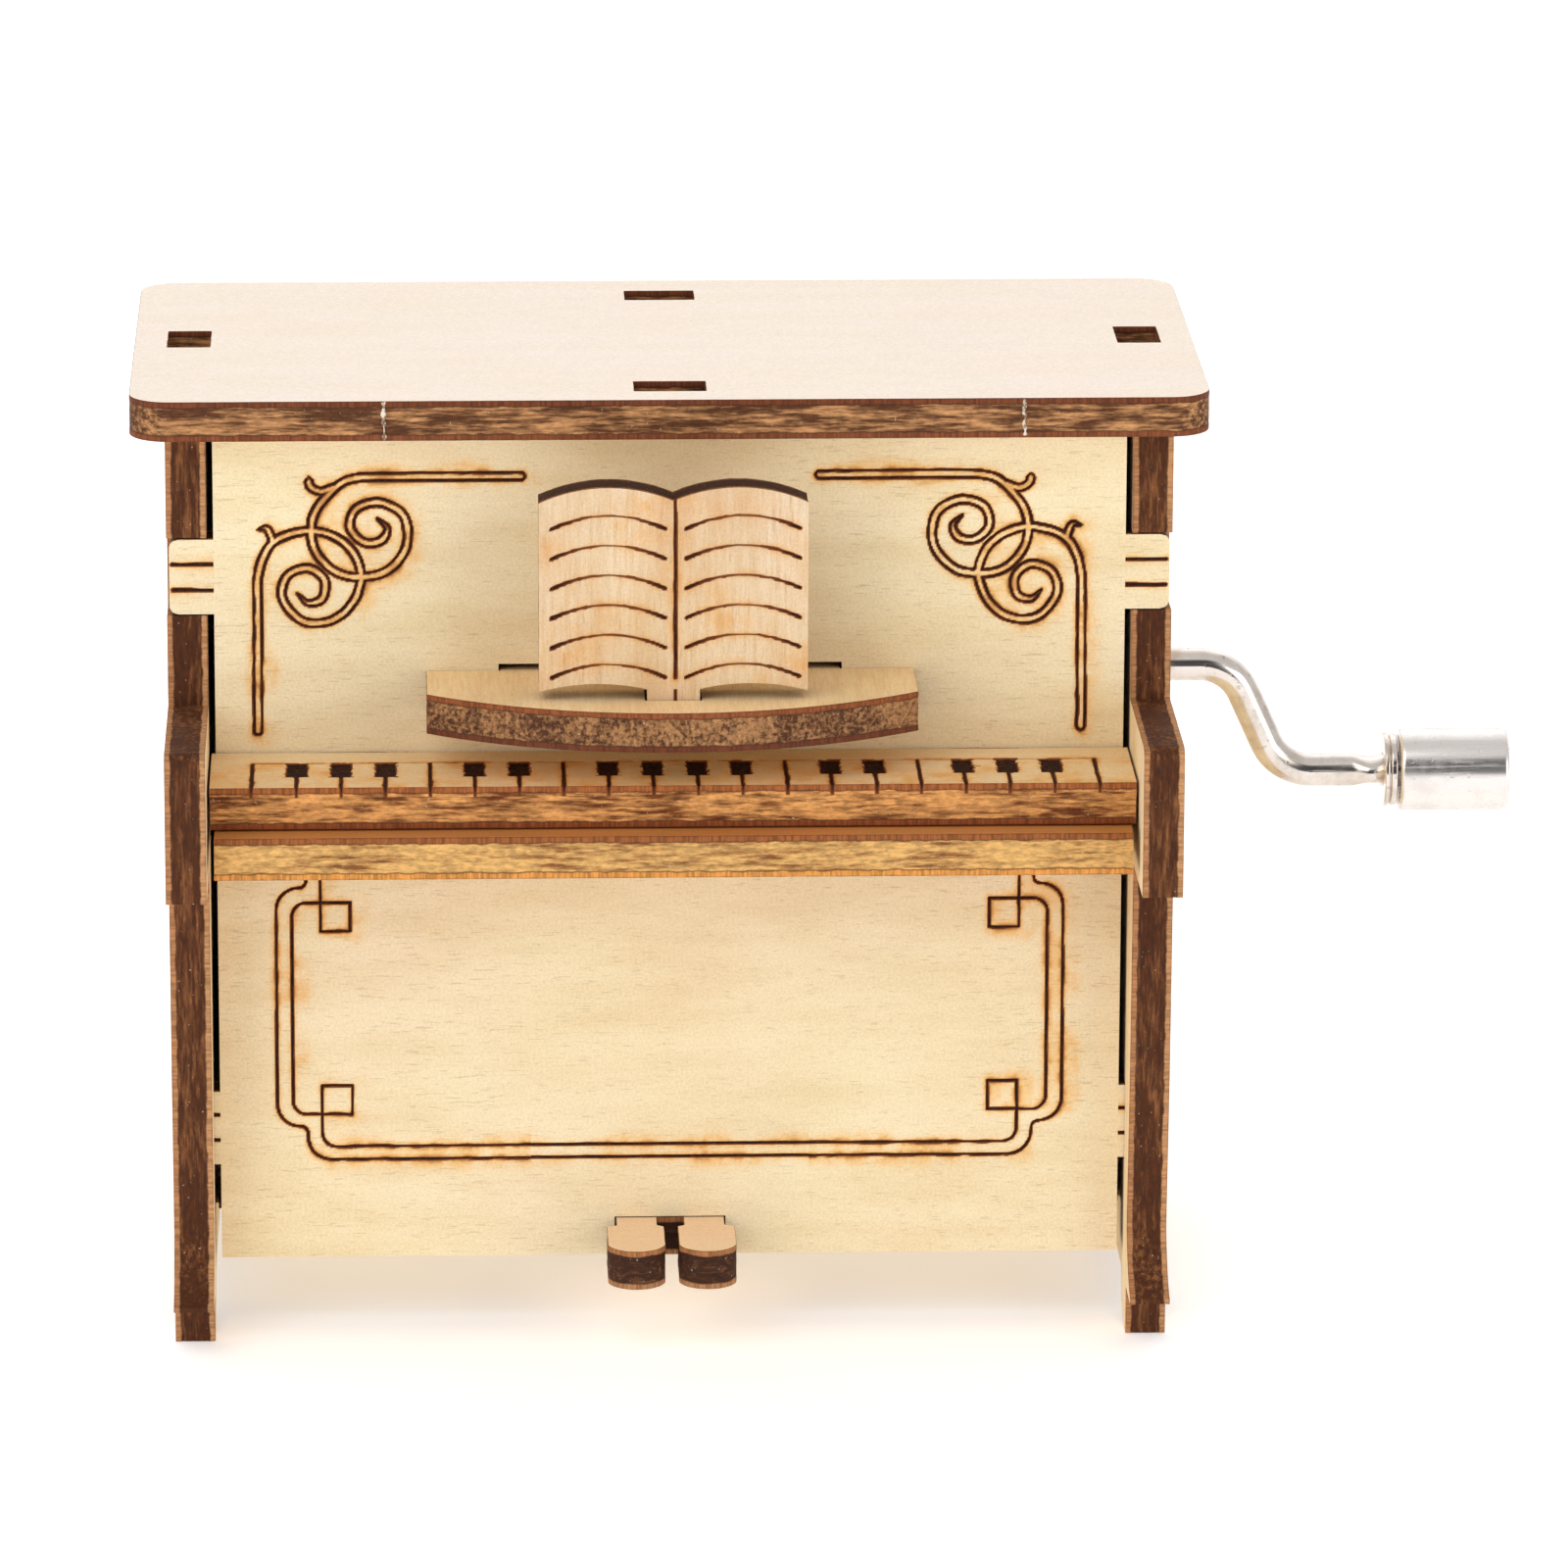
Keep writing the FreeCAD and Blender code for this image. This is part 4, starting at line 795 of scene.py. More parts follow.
def panel_holes():
    """Slots and the pedal notch of the front panel, as boxes in millimetres (left, low, right, high)."""
    loops = sorted(outline_loops("front_panel", "y")[0], key=lambda loop: -abs(signed_area(loop)))
    places = [np.stack([(loop[:, 0] - MIDDLE) / MM, loop[:, 1] / MM], -1) for loop in loops]
    outer, slots = places[0], places[1:]
    notch = outer[np.abs(outer[:, 0]) < 10]
    notch = notch[notch[:, 1] < 30]
    boxes = [(*slot.min(0), *slot.max(0)) for slot in slots]
    boxes.append((*notch.min(0), *notch.max(0)))
    keys = span("keyboard")[1][2] / MM
    boxes = [(a, b, c, min(d, keys - 0.05) if b < keys < d else d) for a, b, c, d in boxes]
    return outer, boxes


def carve_panel(across, up, seed, lines, ribbons, groove, drift=0.45):
    """Burn, scorch and depth of the panel's engraving."""
    burnt, scorch = engraved(across, up, lines, ribbons, seed, drift=drift)
    return burnt, scorch, groove * burnt


def panel_skin(name, across, ups, carve, material, **more):
    """One engraved veneer on the front panel."""
    skin_piece(name, "front_panel", across, ups, upright(FRONT), SKIN, carve, material,
               "panel_plywood", **more)


def build_panel(settings):
    """The front panel: a sheet with its front layer taken off, and engraved veneers laid over it."""
    material = plywood("panel_wood", "panel", "front_panel", "y", "x", settings)
    sheet_piece("front_panel_core", "front_panel", "y", material, 3,
                trim=(SKIN * MM, 0))
    outer, holes = panel_holes()
    body = outer[np.abs(outer[:, 0]) < BODY_HALF]
    left = body[:, 0].min()
    low = outer[:, 1].min()
    high = body[np.abs(body[:, 0]) > 20][:, 1].max()
    ribbons, lines, groove = scroll_ribbons(), frame_lines(), settings.groove / MM
    inner = -MIDDLE_HALF
    fine_up = [(12.8, 19.4), (30.8, 35.7), (54.4, 66.8), (46.2, 47.2)]
    fine_across = [(-31.3, -18.9), (-11.7, inner)]
    stops_u = [value for box in holes for value in (box[0], box[2])]
    stops_v = [value for box in holes for value in (box[1], box[3])]
    ups = with_stops(bands(low, high, fine_up, FINE, COARSE), stops_v)
    lefts = with_stops(bands(left, inner, fine_across, FINE, COARSE), stops_u)
    for side, columns, sign, seed in (("left", lefts, 1, 11), ("right", -lefts[::-1], -1, 21)):
        def carve(u, v, sign=sign, seed=seed):
            return carve_panel(sign * u, v, seed, lines, ribbons, groove, sign * 0.45)
        panel_skin("front_veneer_" + side, columns, ups, carve, material, holes=holes)
    across = with_stops(bands(inner, -inner, [(-11, -10)], 0.6, 0.6), stops_u)
    ups = with_stops(bands(low, high, [(12.9, 14.6)], 0.1, 0.6), stops_v)
    full = [np.array([(-12, line[-1][1]), (12, line[-1][1])]) for line in lines]
    start = ribbons[0][0][0]
    ends = [(np.array([(-side * start[0], start[1]), (side * 14, start[1])]), RIBBON_HALF, 0)
            for side in (-1, 1)]
    panel_skin("front_veneer_middle", across, ups,
               lambda u, v: carve_panel(u, v, 31, full, ends, groove), material, holes=holes)
    build_ears(outer, left, material, groove)


def build_ears(outer, left, material, groove):
    """Four ears: each grid's outer columns follow the rounded corners of the ear's outline, a quarter
    circle at the low and the high end, and two burnt lines run across."""
    tips = outer[np.abs(outer[:, 0]) > EAR_STARTS]
    reach = np.abs(tips[:, 0]).max()
    for name, heights in EAR_LINES.items():
        chosen = tips[np.abs(tips[:, 1] - heights[0]) < 10]
        low, high = chosen[:, 1].min(), chosen[:, 1].max()
        radius = chosen[:, 1][np.abs(chosen[:, 0]) > reach - 0.01].min() - low
        for side, word in ((-1, "left"), (1, "right")):
            def warp(u, v, side=side, low=low, high=high, radius=radius):
                edge = np.clip(np.maximum(low + radius - v, v - high + radius) / radius, 0, 1)
                limit = reach - radius * (1 - np.sqrt(1 - edge**2))
                return side * (-left + u * (limit + left)), v

            def carve(u, v, heights=heights):
                lines = [np.array([(s * x, h) for x in EAR_LINE_ENDS]) for h in heights for s in (-1, 1)]
                burnt, scorch = engraved(u, v, lines, [], 41, 0.17, drift=0)
                return burnt, scorch * 0.7, groove * burnt
            columns = np.linspace(0, 1, 31)[::side]
            panel_skin(f"{name}_{word}", columns, np.linspace(low, high, 53), carve, material, warp=warp)


def with_stops(lines, stops):
    """Grid lines with further stops added where they fall inside, and near twins dropped."""
    inside = [s for s in stops if lines[0] < s < lines[-1]]
    ends = lines[0], lines[-1]
    kept = [x for x in lines if x in ends or not any(abs(x - s) < 0.04 for s in inside)]
    return np.array(sorted([*kept, *inside]))


# ---------------------------------------------------------------- keyboard, book, shelf
KEY_PITCH = 3.294
FIRST_KEY = -31.11
KEY_COUNT = 20
LONG_LINES = (0, 4, 7, 12, 15, 19)
KEY_BACK = 3.25
BLACK_FRONT = 7.08
BLACK_WIDTH = 1.42
KEY_SKIN = 0.78


def carve_keys(across, forward, front, groove):
    """Burnt keys: a line between each two white keys, and a black key at the head of most of them.
    A dark line of painted shade, with the char of the cut edges, runs along the back edge where the keyboard
    meets the front panel, carried in the burn.
    """
    lines = [np.array([(FIRST_KEY, KEY_BACK), (FIRST_KEY + (KEY_COUNT - 1) * KEY_PITCH, KEY_BACK)])]
    blocks = np.full(across.shape, 9.0)
    shake = 0.05 * ripple_plane(across * 2.0, forward * 1.5, 51)
    for key in range(KEY_COUNT):
        x = FIRST_KEY + key * KEY_PITCH
        start = KEY_BACK if key in LONG_LINES else BLACK_FRONT - 0.3
        lines.append(np.array([(x, start), (x, front + 1)]))
        if key not in LONG_LINES:
            du = np.abs(across + shake - x) - BLACK_WIDTH / 2
            dv = np.abs(forward + shake - (KEY_BACK + BLACK_FRONT) / 2) - (BLACK_FRONT - KEY_BACK) / 2
            blocks = np.minimum(blocks, np.maximum(du, dv))
    thin = engraved(across, forward, lines[:1], [], 52, 0.10, 0.03, 0)
    thick = engraved(across, forward, lines[1:], [], 53, 0.17, 0.05, 0)
    spikes = 0.22 * np.clip(ripple_plane(across * 0.4, forward * 7.0, 54), 0, 1)
    black = np.clip(0.5 - (blocks - spikes) / 0.12, 0, 1)
    rim = 0.7 * np.exp(-np.clip(blocks, 0, 9) / 0.45)
    # painted shade: a dark line in the joint with the front panel along the keyboard's back edge, given as burn
    # together with the char of the cut edges
    painted_joint_shade = np.exp(-((forward / 0.12) ** 2)) * 0.8
    burnt = np.maximum(np.maximum(thin[0] * 0.5, thick[0] * 0.9), np.maximum(black, painted_joint_shade))
    scorch = np.clip(np.maximum(np.maximum(thin[1] * 0.9, thick[1]), rim), 0, 1)
    smoke = 0.3 + 0.3 * ripple_plane(across * 0.5, forward * 0.5, 56)
    scorch = np.maximum(scorch, np.where(forward > KEY_BACK, smoke, 0.1))
    rough = 0.05 * ripple_plane(across * 5, forward * 5, 55)
    return burnt, scorch, groove * burnt + black * (0.06 + rough)


KEY_NEAR = 0.95


def build_keyboard(settings):
    """The keyboard, its engraved veneer on top, and the keybed below."""
    low, high = span("keyboard")
    material = plywood("key_wood", "key", "keyboard", "z", "x", settings)
    sheet_piece("keyboard_core", "keyboard", "z", material, 5, trim=(0, KEY_SKIN * MM))
    half = (high[0] - low[0]) / 2 / MM
    front = (FRONT - low[1]) / MM
    lines = [FIRST_KEY + k * KEY_PITCH for k in range(KEY_COUNT)]
    near = [(line - KEY_NEAR, line + KEY_NEAR) for line in lines]
    across = bands(-half, half, near, 0.11, 0.45)
    forward = bands(0, front, [(2.9, 7.6)], 0.11, 0.3)

    def carve(u, v):
        return carve_keys(u, v, front, settings.groove / MM)
    skin_piece("key_veneer", "keyboard", across[::-1], forward, lying(high[2]), KEY_SKIN, carve, material,
               "key_plywood")
    material = plywood("bed_wood", "bed", "keybed", "z", "x", settings)
    sheet_piece("keybed_sheet", "keybed", "z", material, 7)


STAFF_COUNT = 6
STAFF_STEP = 2.25
STAFF_DROP = 1.95
STAFF_LENGTH = 8.33
STAFF_BOW = 1.0
STAFF_GAPS = ((-1, 0.62), (1, 0.95))
SPINE = 0.14
STEM_SHOWN = 1.5 * MM


def staff_lines(shoulder):
    """The arched lines of both pages: each rises by a parabola over its length, row under row."""
    curves = []
    x = np.linspace(0, STAFF_LENGTH, 12)
    half = STAFF_LENGTH / 2
    bow = 1 - ((x - half) / half) ** 2
    for row in range(STAFF_COUNT):
        height = shoulder - STAFF_DROP - row * STAFF_STEP
        for side, gap in STAFF_GAPS:
            curves.append(np.stack([side * (x + gap), height + STAFF_BOW * bow], -1))
    return curves


def build_book(settings):
    """The open book: a grid whose top and foot follow two arches, with arched lines on each page."""
    low, high = span("music_book")
    half = (high[0] - low[0]) / 2 / MM
    groove = settings.groove / MM
    material = plywood("book_wood", "book", "music_book", "y", "z", settings)
    sheet_piece("music_book_core", "music_book", "y", material, 9, trim=(SKIN * MM, 0))
    loop = max(outline_loops("music_book", "y")[0], key=lambda found: abs(signed_area(found)))
    loop = np.stack([(loop[:, 0] - MIDDLE) / MM, loop[:, 1] / MM], -1)
    corner_up = loop[np.abs(np.abs(loop[:, 0]) - half) < 0.01][:, 1]
    foot, shoulder = corner_up.min(), corner_up.max()
    upper = loop[loop[:, 1] > (foot + shoulder) / 2]
    lower = loop[(loop[:, 1] < (foot + shoulder) / 2) & (loop[:, 1] > foot - 0.02)]
    tab = np.abs(loop[loop[:, 1] < foot - 0.05][:, 0]).max()
    across = np.sort(np.concatenate([np.linspace(-half, half, 181), [-tab, tab]]))
    staves = staff_lines(shoulder)
    spine = [np.array([(SPINE, foot + 1.0), (SPINE, shoulder + 1)])]

    def arch(u, points):
        order = np.argsort(points[:, 0])
        return np.interp(u, points[order, 0], points[order, 1])

    def warp(u, v):
        base = arch(u, lower)
        return u, base + v * (arch(u, upper) - base)

    def carve(u, v):
        ends = np.clip(np.abs(np.abs(u) - np.where(u > 0, 5.1, 4.75)) / 4.1, 0, 1) ** 2
        thin = engraved(u, v, staves, [], 61, 0.11 + 0.05 * ends, 0.015, 0)
        thick = engraved(u, v, spine, [], 62, 0.15, 0.03, -0.3)
        burnt = np.maximum(thin[0] * (0.5 + 0.5 * ends), thick[0] * 0.9)
        warm = np.clip(0.12 + 0.35 * ripple_plane(u * 0.3, v * 0.35, 63), 0, 1)
        return burnt, np.maximum(np.maximum(thin[1] * 0.5, thick[1] * 0.8), warm), groove * burnt

    def warp_stem(u, v):
        return u, v + (v - stem_low) / (foot - stem_low) * (arch(u, lower) - foot)

    def carve_stem(u, v):
        line = np.exp(-(((u - SPINE) / 0.12) ** 2)) * 0.9
        return line * (v < stem_low + 2.5), u * 0 + 0.1, u * 0
    place = upright(low[1])
    skin_piece("book_veneer", "music_book", across, np.linspace(0, 1, 141), place, SKIN, carve, material,
               "trim_plywood", warp=warp)
    stem_low = max(low[2], span("music_shelf")[1][2] - STEM_SHOWN) / MM
    skin_piece("book_stem_veneer", "music_book", np.linspace(-tab, tab, 33), np.linspace(stem_low, foot, 9),
               place, SKIN, carve_stem, material, "trim_plywood", warp=warp_stem)


SHEETS = {
    # piece: (node, thickness axis, grain axis, wood, slot)
    "lid_sheet": ("lid", "z", "x", "lid", "pale_plywood"),
    "back_panel_sheet": ("back_panel", "y", "x", "panel", "panel_plywood"),
    "left_side_sheet": ("left_side", "x", "z", "side", "side_plywood"),
    "right_side_sheet": ("right_side", "x", "z", "side", "side_plywood"),
    "floor_board_sheet": ("floor_board", "z", "x", "side", "side_plywood"),
    "music_shelf_sheet": ("music_shelf", "z", "y", "shelf", "trim_plywood"),
    "pedals_sheet": ("pedals", "z", "x", "pedal", "trim_plywood"),
}


def build_sheets(settings):
    """The pieces of plywood that have no engraving."""
    for number, (name, (node, axis, grain, wood, slot)) in enumerate(SHEETS.items()):
        material = plywood(name + "_wood", wood, node, axis, grain, settings)
        sheet_piece(name, node, axis, material, 101 + 7 * number)


NIBS = {
    # piece: (node, slot, where along X in millimetres from the middle, share of the thickness it reaches down)
    "lid_nib_left": ("lid", "pale_plywood", -21.2, 1.0),
    "lid_nib_right": ("lid", "pale_plywood", 26.1, 0.95),
    "shelf_nib_left": ("music_shelf", "trim_plywood", -7.3, 0.35),
    "shelf_nib_right": ("music_shelf", "trim_plywood", 7.6, 0.4),
}


NIB_STAND = 0.15
NIB_CLEAR = 0.03 * MM
NIB_ROOT = 0.12 * MM


def build_nibs(settings):
    """Torn fibres where a piece was snapped off its sheet: a narrow ragged ridge down the front edge. The ridge
    stands out by a half cosine wave across its width, broken up by noise along it, and swells near its top."""
    material = torn_wood(settings)
    for number, (name, (node, slot, x, reach)) in enumerate(NIBS.items()):
        low, high = span(node)
        outline = outline_loops(node, "z")[0][0]
        edge = outline[outline[:, 1] < (low[1] + high[1]) / 2]
        order = np.argsort(edge[:, 0])
        front = np.interp(MIDDLE + x * MM, edge[order, 0], edge[order, 1])
        across, down = np.meshgrid(np.linspace(-1, 1, 13), np.linspace(0, 1, 41))
        ragged = 0.6 + 0.6 * ripple_plane(across * 2.3, down * 19.0, 200 + number)
        ends = np.sin(np.pi * np.clip(down, 0.03, 0.97)) ** 0.3
        stand = NIB_STAND * np.cos(across * np.pi / 2) * ragged * ends * MM
        sway = 0.07 * ripple_plane(down * 6.0, down * 0, 210 + number)
        swell = 0.5 * np.exp(-((down - 0.3) / 0.15) ** 2)
        wide = 0.62 + 0.55 * ripple_plane(down * 9.0, down * 0, 220 + number) + swell
        left = MIDDLE + (x + across * settings.nib_width / MM * np.clip(wide, 0.3, 1.6) + sway) * MM
        height = high[2] - NIB_CLEAR - down * (high[2] - low[2] - 2 * NIB_CLEAR) * reach
        outer = np.stack([left, front - np.clip(stand, 0, 1), height], -1)
        inner = np.stack([left, np.full(left.shape, front + NIB_ROOT), height], -1)
        points = np.concatenate([outer.reshape(-1, 3), inner.reshape(-1, 3)])
        faces = thickened(np.array(grid_faces(*across.shape)), across.size).tolist()
        make_piece(name, points, faces, CASE, [], material)


def torn_wood(settings):
    """Pale wood fibre, browned in patches by the laser."""
    material, tree, shader, coordinates = new_material("torn_fibre")
    tone = ranged(tree, noise(tree, coordinates.outputs["Object"], 2600.0), 0.42, 0.6)
    colour = blended(tree, tone, (0.24, 0.14, 0.075, 1.0), (*settings.nib_colour, 1.0))
    tree.links.new(colour, shader.inputs["Base Color"])
    shader.inputs["Roughness"].default_value = 0.8
    return material


# ---------------------------------------------------------------- crank
WIRE_RADIUS = 1.25 * MM
HAND_DENTS = 0.010
PINCH_REACH = 1.15 * MM
PINCH_WIDER = 0.3
PINCH_FLATTER = 0.22
WASHER_BORE = 1.3 * MM
WASHER_EDGE = 0.12 * MM
GRIP_BORE = 1.32 * MM
GRIP_EDGE = 0.42 * MM
CAP_DISH = 0.12 * MM


def wire_line(bend, slope, run):
    """The crank wire's middle line: straight, bend, slope, bend, straight. Each bend turns through slope."""
    low, high = span("crank_wire")
    joints = {joint["name"]: joint for joint in frame["joints"]}
    upper = joints["crank_spin"]["pos_m"][2]
    lower = joints["knob_spin"]["pos_m"][2]
    start = span("right_side")[1][0] + run
    turn = np.linspace(0, slope, 17)
    first = np.stack([start + bend * np.sin(turn), upper - bend * (1 - np.cos(turn))], -1)
    drop = first[-1, 1] - (lower + bend * (1 - math.cos(slope)))
    across = drop / math.tan(slope)
    last = np.stack([
        first[-1, 0] + across + bend * (math.sin(slope) - np.sin(turn[::-1])),
        lower + bend * (1 - np.cos(turn[::-1])),
    ], -1)
    steps = np.linspace(0, 1, 25)[1:-1, None]
    slope_part = first[-1] + steps * (last[0] - first[-1])
    head = np.stack([np.linspace(low[0], start, 40)[:-1], np.full(39, upper)], -1)
    tail = np.stack([np.linspace(last[-1, 0], high[0], 48)[1:], np.full(47, lower)], -1)
    return np.concatenate([head, first, slope_part, last, tail])


def tube(name, line, radii, side, body, nodes, material, sides=48):
    """A tube: at each point of the line, an ellipse square to it. radii is (across the bend's plane, in it)."""
    tangent = np.gradient(line, axis=0)
    tangent /= np.linalg.norm(tangent, axis=1)[:, None]
    turn = np.linspace(0, 2 * np.pi, sides, endpoint=False)
    flat = radii[:, 0, None] * np.cos(turn)
    deep = radii[:, 1, None] * np.sin(turn)
    x = line[:, 0, None] - deep * tangent[:, 1, None]
    z = line[:, 1, None] + deep * tangent[:, 0, None]
    points = np.stack([x, side + flat, z], -1).reshape(-1, 3)
    faces = grid_faces(len(line), sides, True)
    last = len(points) - sides
    faces += [list(range(sides))[::-1], list(range(last, last + sides))]
    return make_piece(name, points, [face[::-1] for face in faces], body, nodes, material, smooth=True)


def turned(name, profile, centre, body, nodes, material, sides=96, closed=True):
    """A turned piece: a closed profile of (x, radius) carried round the axis along X through centre."""
    turn = np.linspace(0, 2 * np.pi, sides, endpoint=False)
    rows = len(profile)
    x = np.repeat(profile[:, 0, None], sides, 1)
    y = centre[1] + profile[:, 1, None] * np.cos(turn)
    z = centre[2] + profile[:, 1, None] * np.sin(turn)
    points = np.stack([x, y, z], -1).reshape(-1, 3)
    faces = np.array(grid_faces(rows, sides, True))
    if closed:
        wrap = np.arange(sides)
        after = (wrap + 1) % sides
        top = (rows - 1) * sides
        faces = np.concatenate([faces, np.stack([top + wrap, top + after, after, wrap], -1)])
        faces = faces.tolist()
    else:
        faces = faces.tolist() + [list(range(sides))[::-1], list(range((rows - 1) * sides, rows * sides))]
    return make_piece(name, points, faces, body, nodes, material, smooth=True)


def rounded(points, radius, steps=6):
    """A closed profile with each corner replaced by a curve from radius before it to radius after it."""
    p = np.array(points, dtype=float)
    before, after = np.roll(p, 1, axis=0) - p, np.roll(p, -1, axis=0) - p
    lengths = [np.linalg.norm(d, axis=1)[:, None] for d in (before, after)]
    starts, ends = (p + d / n * np.minimum(radius, n * 0.45) for d, n in zip((before, after), lengths))
    t = np.linspace(0, 1, steps)[None, :, None]
    curve = (1 - t) ** 2 * starts[:, None] + 2 * t * (1 - t) * p[:, None] + t**2 * ends[:, None]
    return curve.reshape(-1, 2)


def build_crank(settings):
    """The bent wire, pinched flat just before the washer, and the washer, two discs with a groove between."""
    nickel = plated("wire_nickel", tuple(settings.wire_colour), (0.44, 0.36, 0.28), 0.13, 0.5)
    line = wire_line(settings.wire_bend, settings.wire_slope, settings.wire_run)
    low, high = span("knob_washer")
    side = frame["joints"][0]["pos_m"][1]
    pinch = np.clip(1 - np.abs(line[:, 0] - (low[0] - PINCH_REACH)) / PINCH_REACH, 0, 1)
    pinch = np.where(line[:, 1] < low[2] + 4 * MM, pinch, 0) ** 0.6
    dent = 1 + HAND_DENTS * ripple(line[:, 0] / MM * 0.6, 71) * (pinch == 0)
    wide = WIRE_RADIUS * dent * (1 + PINCH_WIDER * pinch)
    deep = WIRE_RADIUS * dent * (1 - PINCH_FLATTER * pinch)
    tube("crank_rod", line, np.stack([wide, deep], -1), side, "crank", ["crank_wire"], nickel)
    rim = (high[2] - low[2]) / 2
    begin, groove, end = low[0] - 0.2 * MM, (low[0] + high[0]) / 2, high[0] + 0.32 * MM
    lip, floor = 0.07 * MM, 0.04 * MM
    profile = rounded([
        (begin, WASHER_BORE), (end, WASHER_BORE), (end, rim * 0.965), (groove + lip, rim * 0.965),
        (groove + floor, rim * 0.88), (groove - floor, rim * 0.88), (groove - lip, rim), (begin, rim),
    ], WASHER_EDGE)
    centre = (low + high) / 2
    turned("crank_washer", profile[::-1], centre, "crank", ["knob_washer"], nickel)
    build_knob(settings)


def build_knob(settings):
    """The grip, a sleeve with rounded edges and a cup at its outer end, and the slightly domed cap in the cup."""
    satin = plated("knob_nickel", tuple(settings.knob_colour), (0.66, 0.62, 0.58), 0.24, 0.5)
    low, high = span("knob_sleeve")
    cap_low, cap_high = span("knob_cap")
    centre = (low + high) / 2
    outer = (high[2] - low[2]) / 2
    cup = (cap_high[2] - cap_low[2]) / 2
    inner = cap_low[0] - 1.0 * MM
    begin = low[0] - 0.3 * MM
    profile = rounded([
        (begin, GRIP_BORE), (inner, GRIP_BORE), (inner, cup), (high[0], cup), (high[0], outer), (begin, outer),
    ], GRIP_EDGE, 9)
    turned("knob_grip", profile[::-1], centre, "knob", ["knob_sleeve"], satin)
    hub, edge = cup * 0.05, cup * 0.985
    dome = np.linspace(0, 1, 9)
    face = np.stack([cap_high[0] - CAP_DISH * dome**2, edge * dome], -1)[1:]
    back = [(cap_low[0] + 0.05 * MM, edge), (cap_low[0], cup * 0.97), (cap_low[0], hub)]
    profile = np.concatenate([[(cap_high[0], hub)], face, back])
    turned("knob_end_cap", profile[::-1], centre, "knob", ["knob_cap"], satin, closed=False)


# ---------------------------------------------------------------- movement
def build_movement(settings):
    """The movement keeps its CAD shapes, each in its own metal or plastic."""
    finishes = {
        "cast_zinc": (["movement_frame", "comb_base"], (0.56, 0.56, 0.55), (0.36, 0.36, 0.36), 0.42, 0.6),
        "blue_steel": (["comb", "drum_arbor", "drum_pins"], (0.52, 0.53, 0.56), (0.30, 0.31, 0.34), 0.22, 0.3),
        "screw_zinc": (["comb_screws", "bedplate_screws", "bedplate_washers"], (0.72, 0.71, 0.68),
                       (0.48, 0.44, 0.36), 0.26, 0.6),
        "drum_brass": (["drum"], tuple(settings.brass_colour), (0.52, 0.34, 0.14), 0.25, 0.4),
    }
    for name, (nodes, bright, dull, rough, wear) in finishes.items():
        give(nodes, plated(name, bright, dull, rough, wear))
    plastic = plated("moulded_acetal", (0.82, 0.79, 0.70), (0.70, 0.66, 0.56), 0.38, 0.4, 0.0, 0.05)
    give(["drum_lower_cap", "drum_upper_cap", "drum_gear", "worm"], plastic)


def give(nodes, material):
    """Puts one material on CAD nodes that keep their shape."""
    for node in nodes:
        mesh = frame["nodes"][node].data
        mesh.materials.clear()
        mesh.materials.append(material)


# ---------------------------------------------------------------- stage
def build_stage(settings):
    """A pale floor that curves up behind, soft lights, and the camera."""
    low = CAD_BOX[0]
    steps = np.linspace(0, 1, 49)
    turn = np.clip((steps - 0.5) * 4, 0, 1) * np.pi / 2
    radius = 0.6
    run = np.interp(steps, [0, 0.5, 0.75, 1], [-2.2, 0.9, 0.9, 0.9])
    y = run + radius * np.sin(turn)
    z = radius * (1 - np.cos(turn)) + np.clip((steps - 0.75) * 4, 0, 1) * 1.6
    x = np.linspace(-2.4, 2.4, 9)
    points = np.stack([np.broadcast_to(x, (49, 9)), np.broadcast_to(y[:, None], (49, 9)),
                       np.broadcast_to(z[:, None] + low[2] - 0.00002, (49, 9))], -1).reshape(-1, 3)
    mesh = bpy.data.meshes.new("studio_floor")
    mesh.from_pydata(points.tolist(), [], grid_faces(49, 9))
    mesh.polygons.foreach_set("use_smooth", np.full(len(mesh.polygons), True))
    floor = bpy.data.objects.new("studio_floor", mesh)
    bpy.context.scene.collection.objects.link(floor)
    material, tree, shader, coordinates = new_material("floor_paper")
    grain = noise(tree, coordinates.outputs["Object"], 40.0)
    tint = grey(tree, ranged(tree, grain, 0.3, 0.7, 0.965, 0.985))
    tree.links.new(tint, shader.inputs["Base Color"])
    shader.inputs["Roughness"].default_value = 0.9
    shader.inputs["Emission Color"].default_value = (1.0, 1.0, 1.0, 1.0)
    shader.inputs["Emission Strength"].default_value = settings.floor_glow
    mesh.materials.append(material)
    build_world(settings)
    for name, place, size, power in (
        ("key_light", (-0.45, -0.75, 0.95), 0.9, settings.key_power),
        ("left_fill", (-1.0, -0.95, 0.35), 0.8, settings.fill_power),
        ("right_fill", (1.0, -0.95, 0.35), 0.8, settings.fill_power),
        ("back_light", (0.1, 0.75, 0.9), 1.0, settings.back_power),
    ):
        light = bpy.data.lights.new(name, "AREA")
        light.size = size
        light.energy = power
        lamp = bpy.data.objects.new(name, light)
        bpy.context.scene.collection.objects.link(lamp)
        lamp.location = place
        lamp.rotation_euler = (Vector((0, 0, 0.03)) - Vector(place)).to_track_quat("-Z", "Y").to_euler()
    build_camera(settings)
    bpy.context.scene.view_settings.view_transform = "Standard"


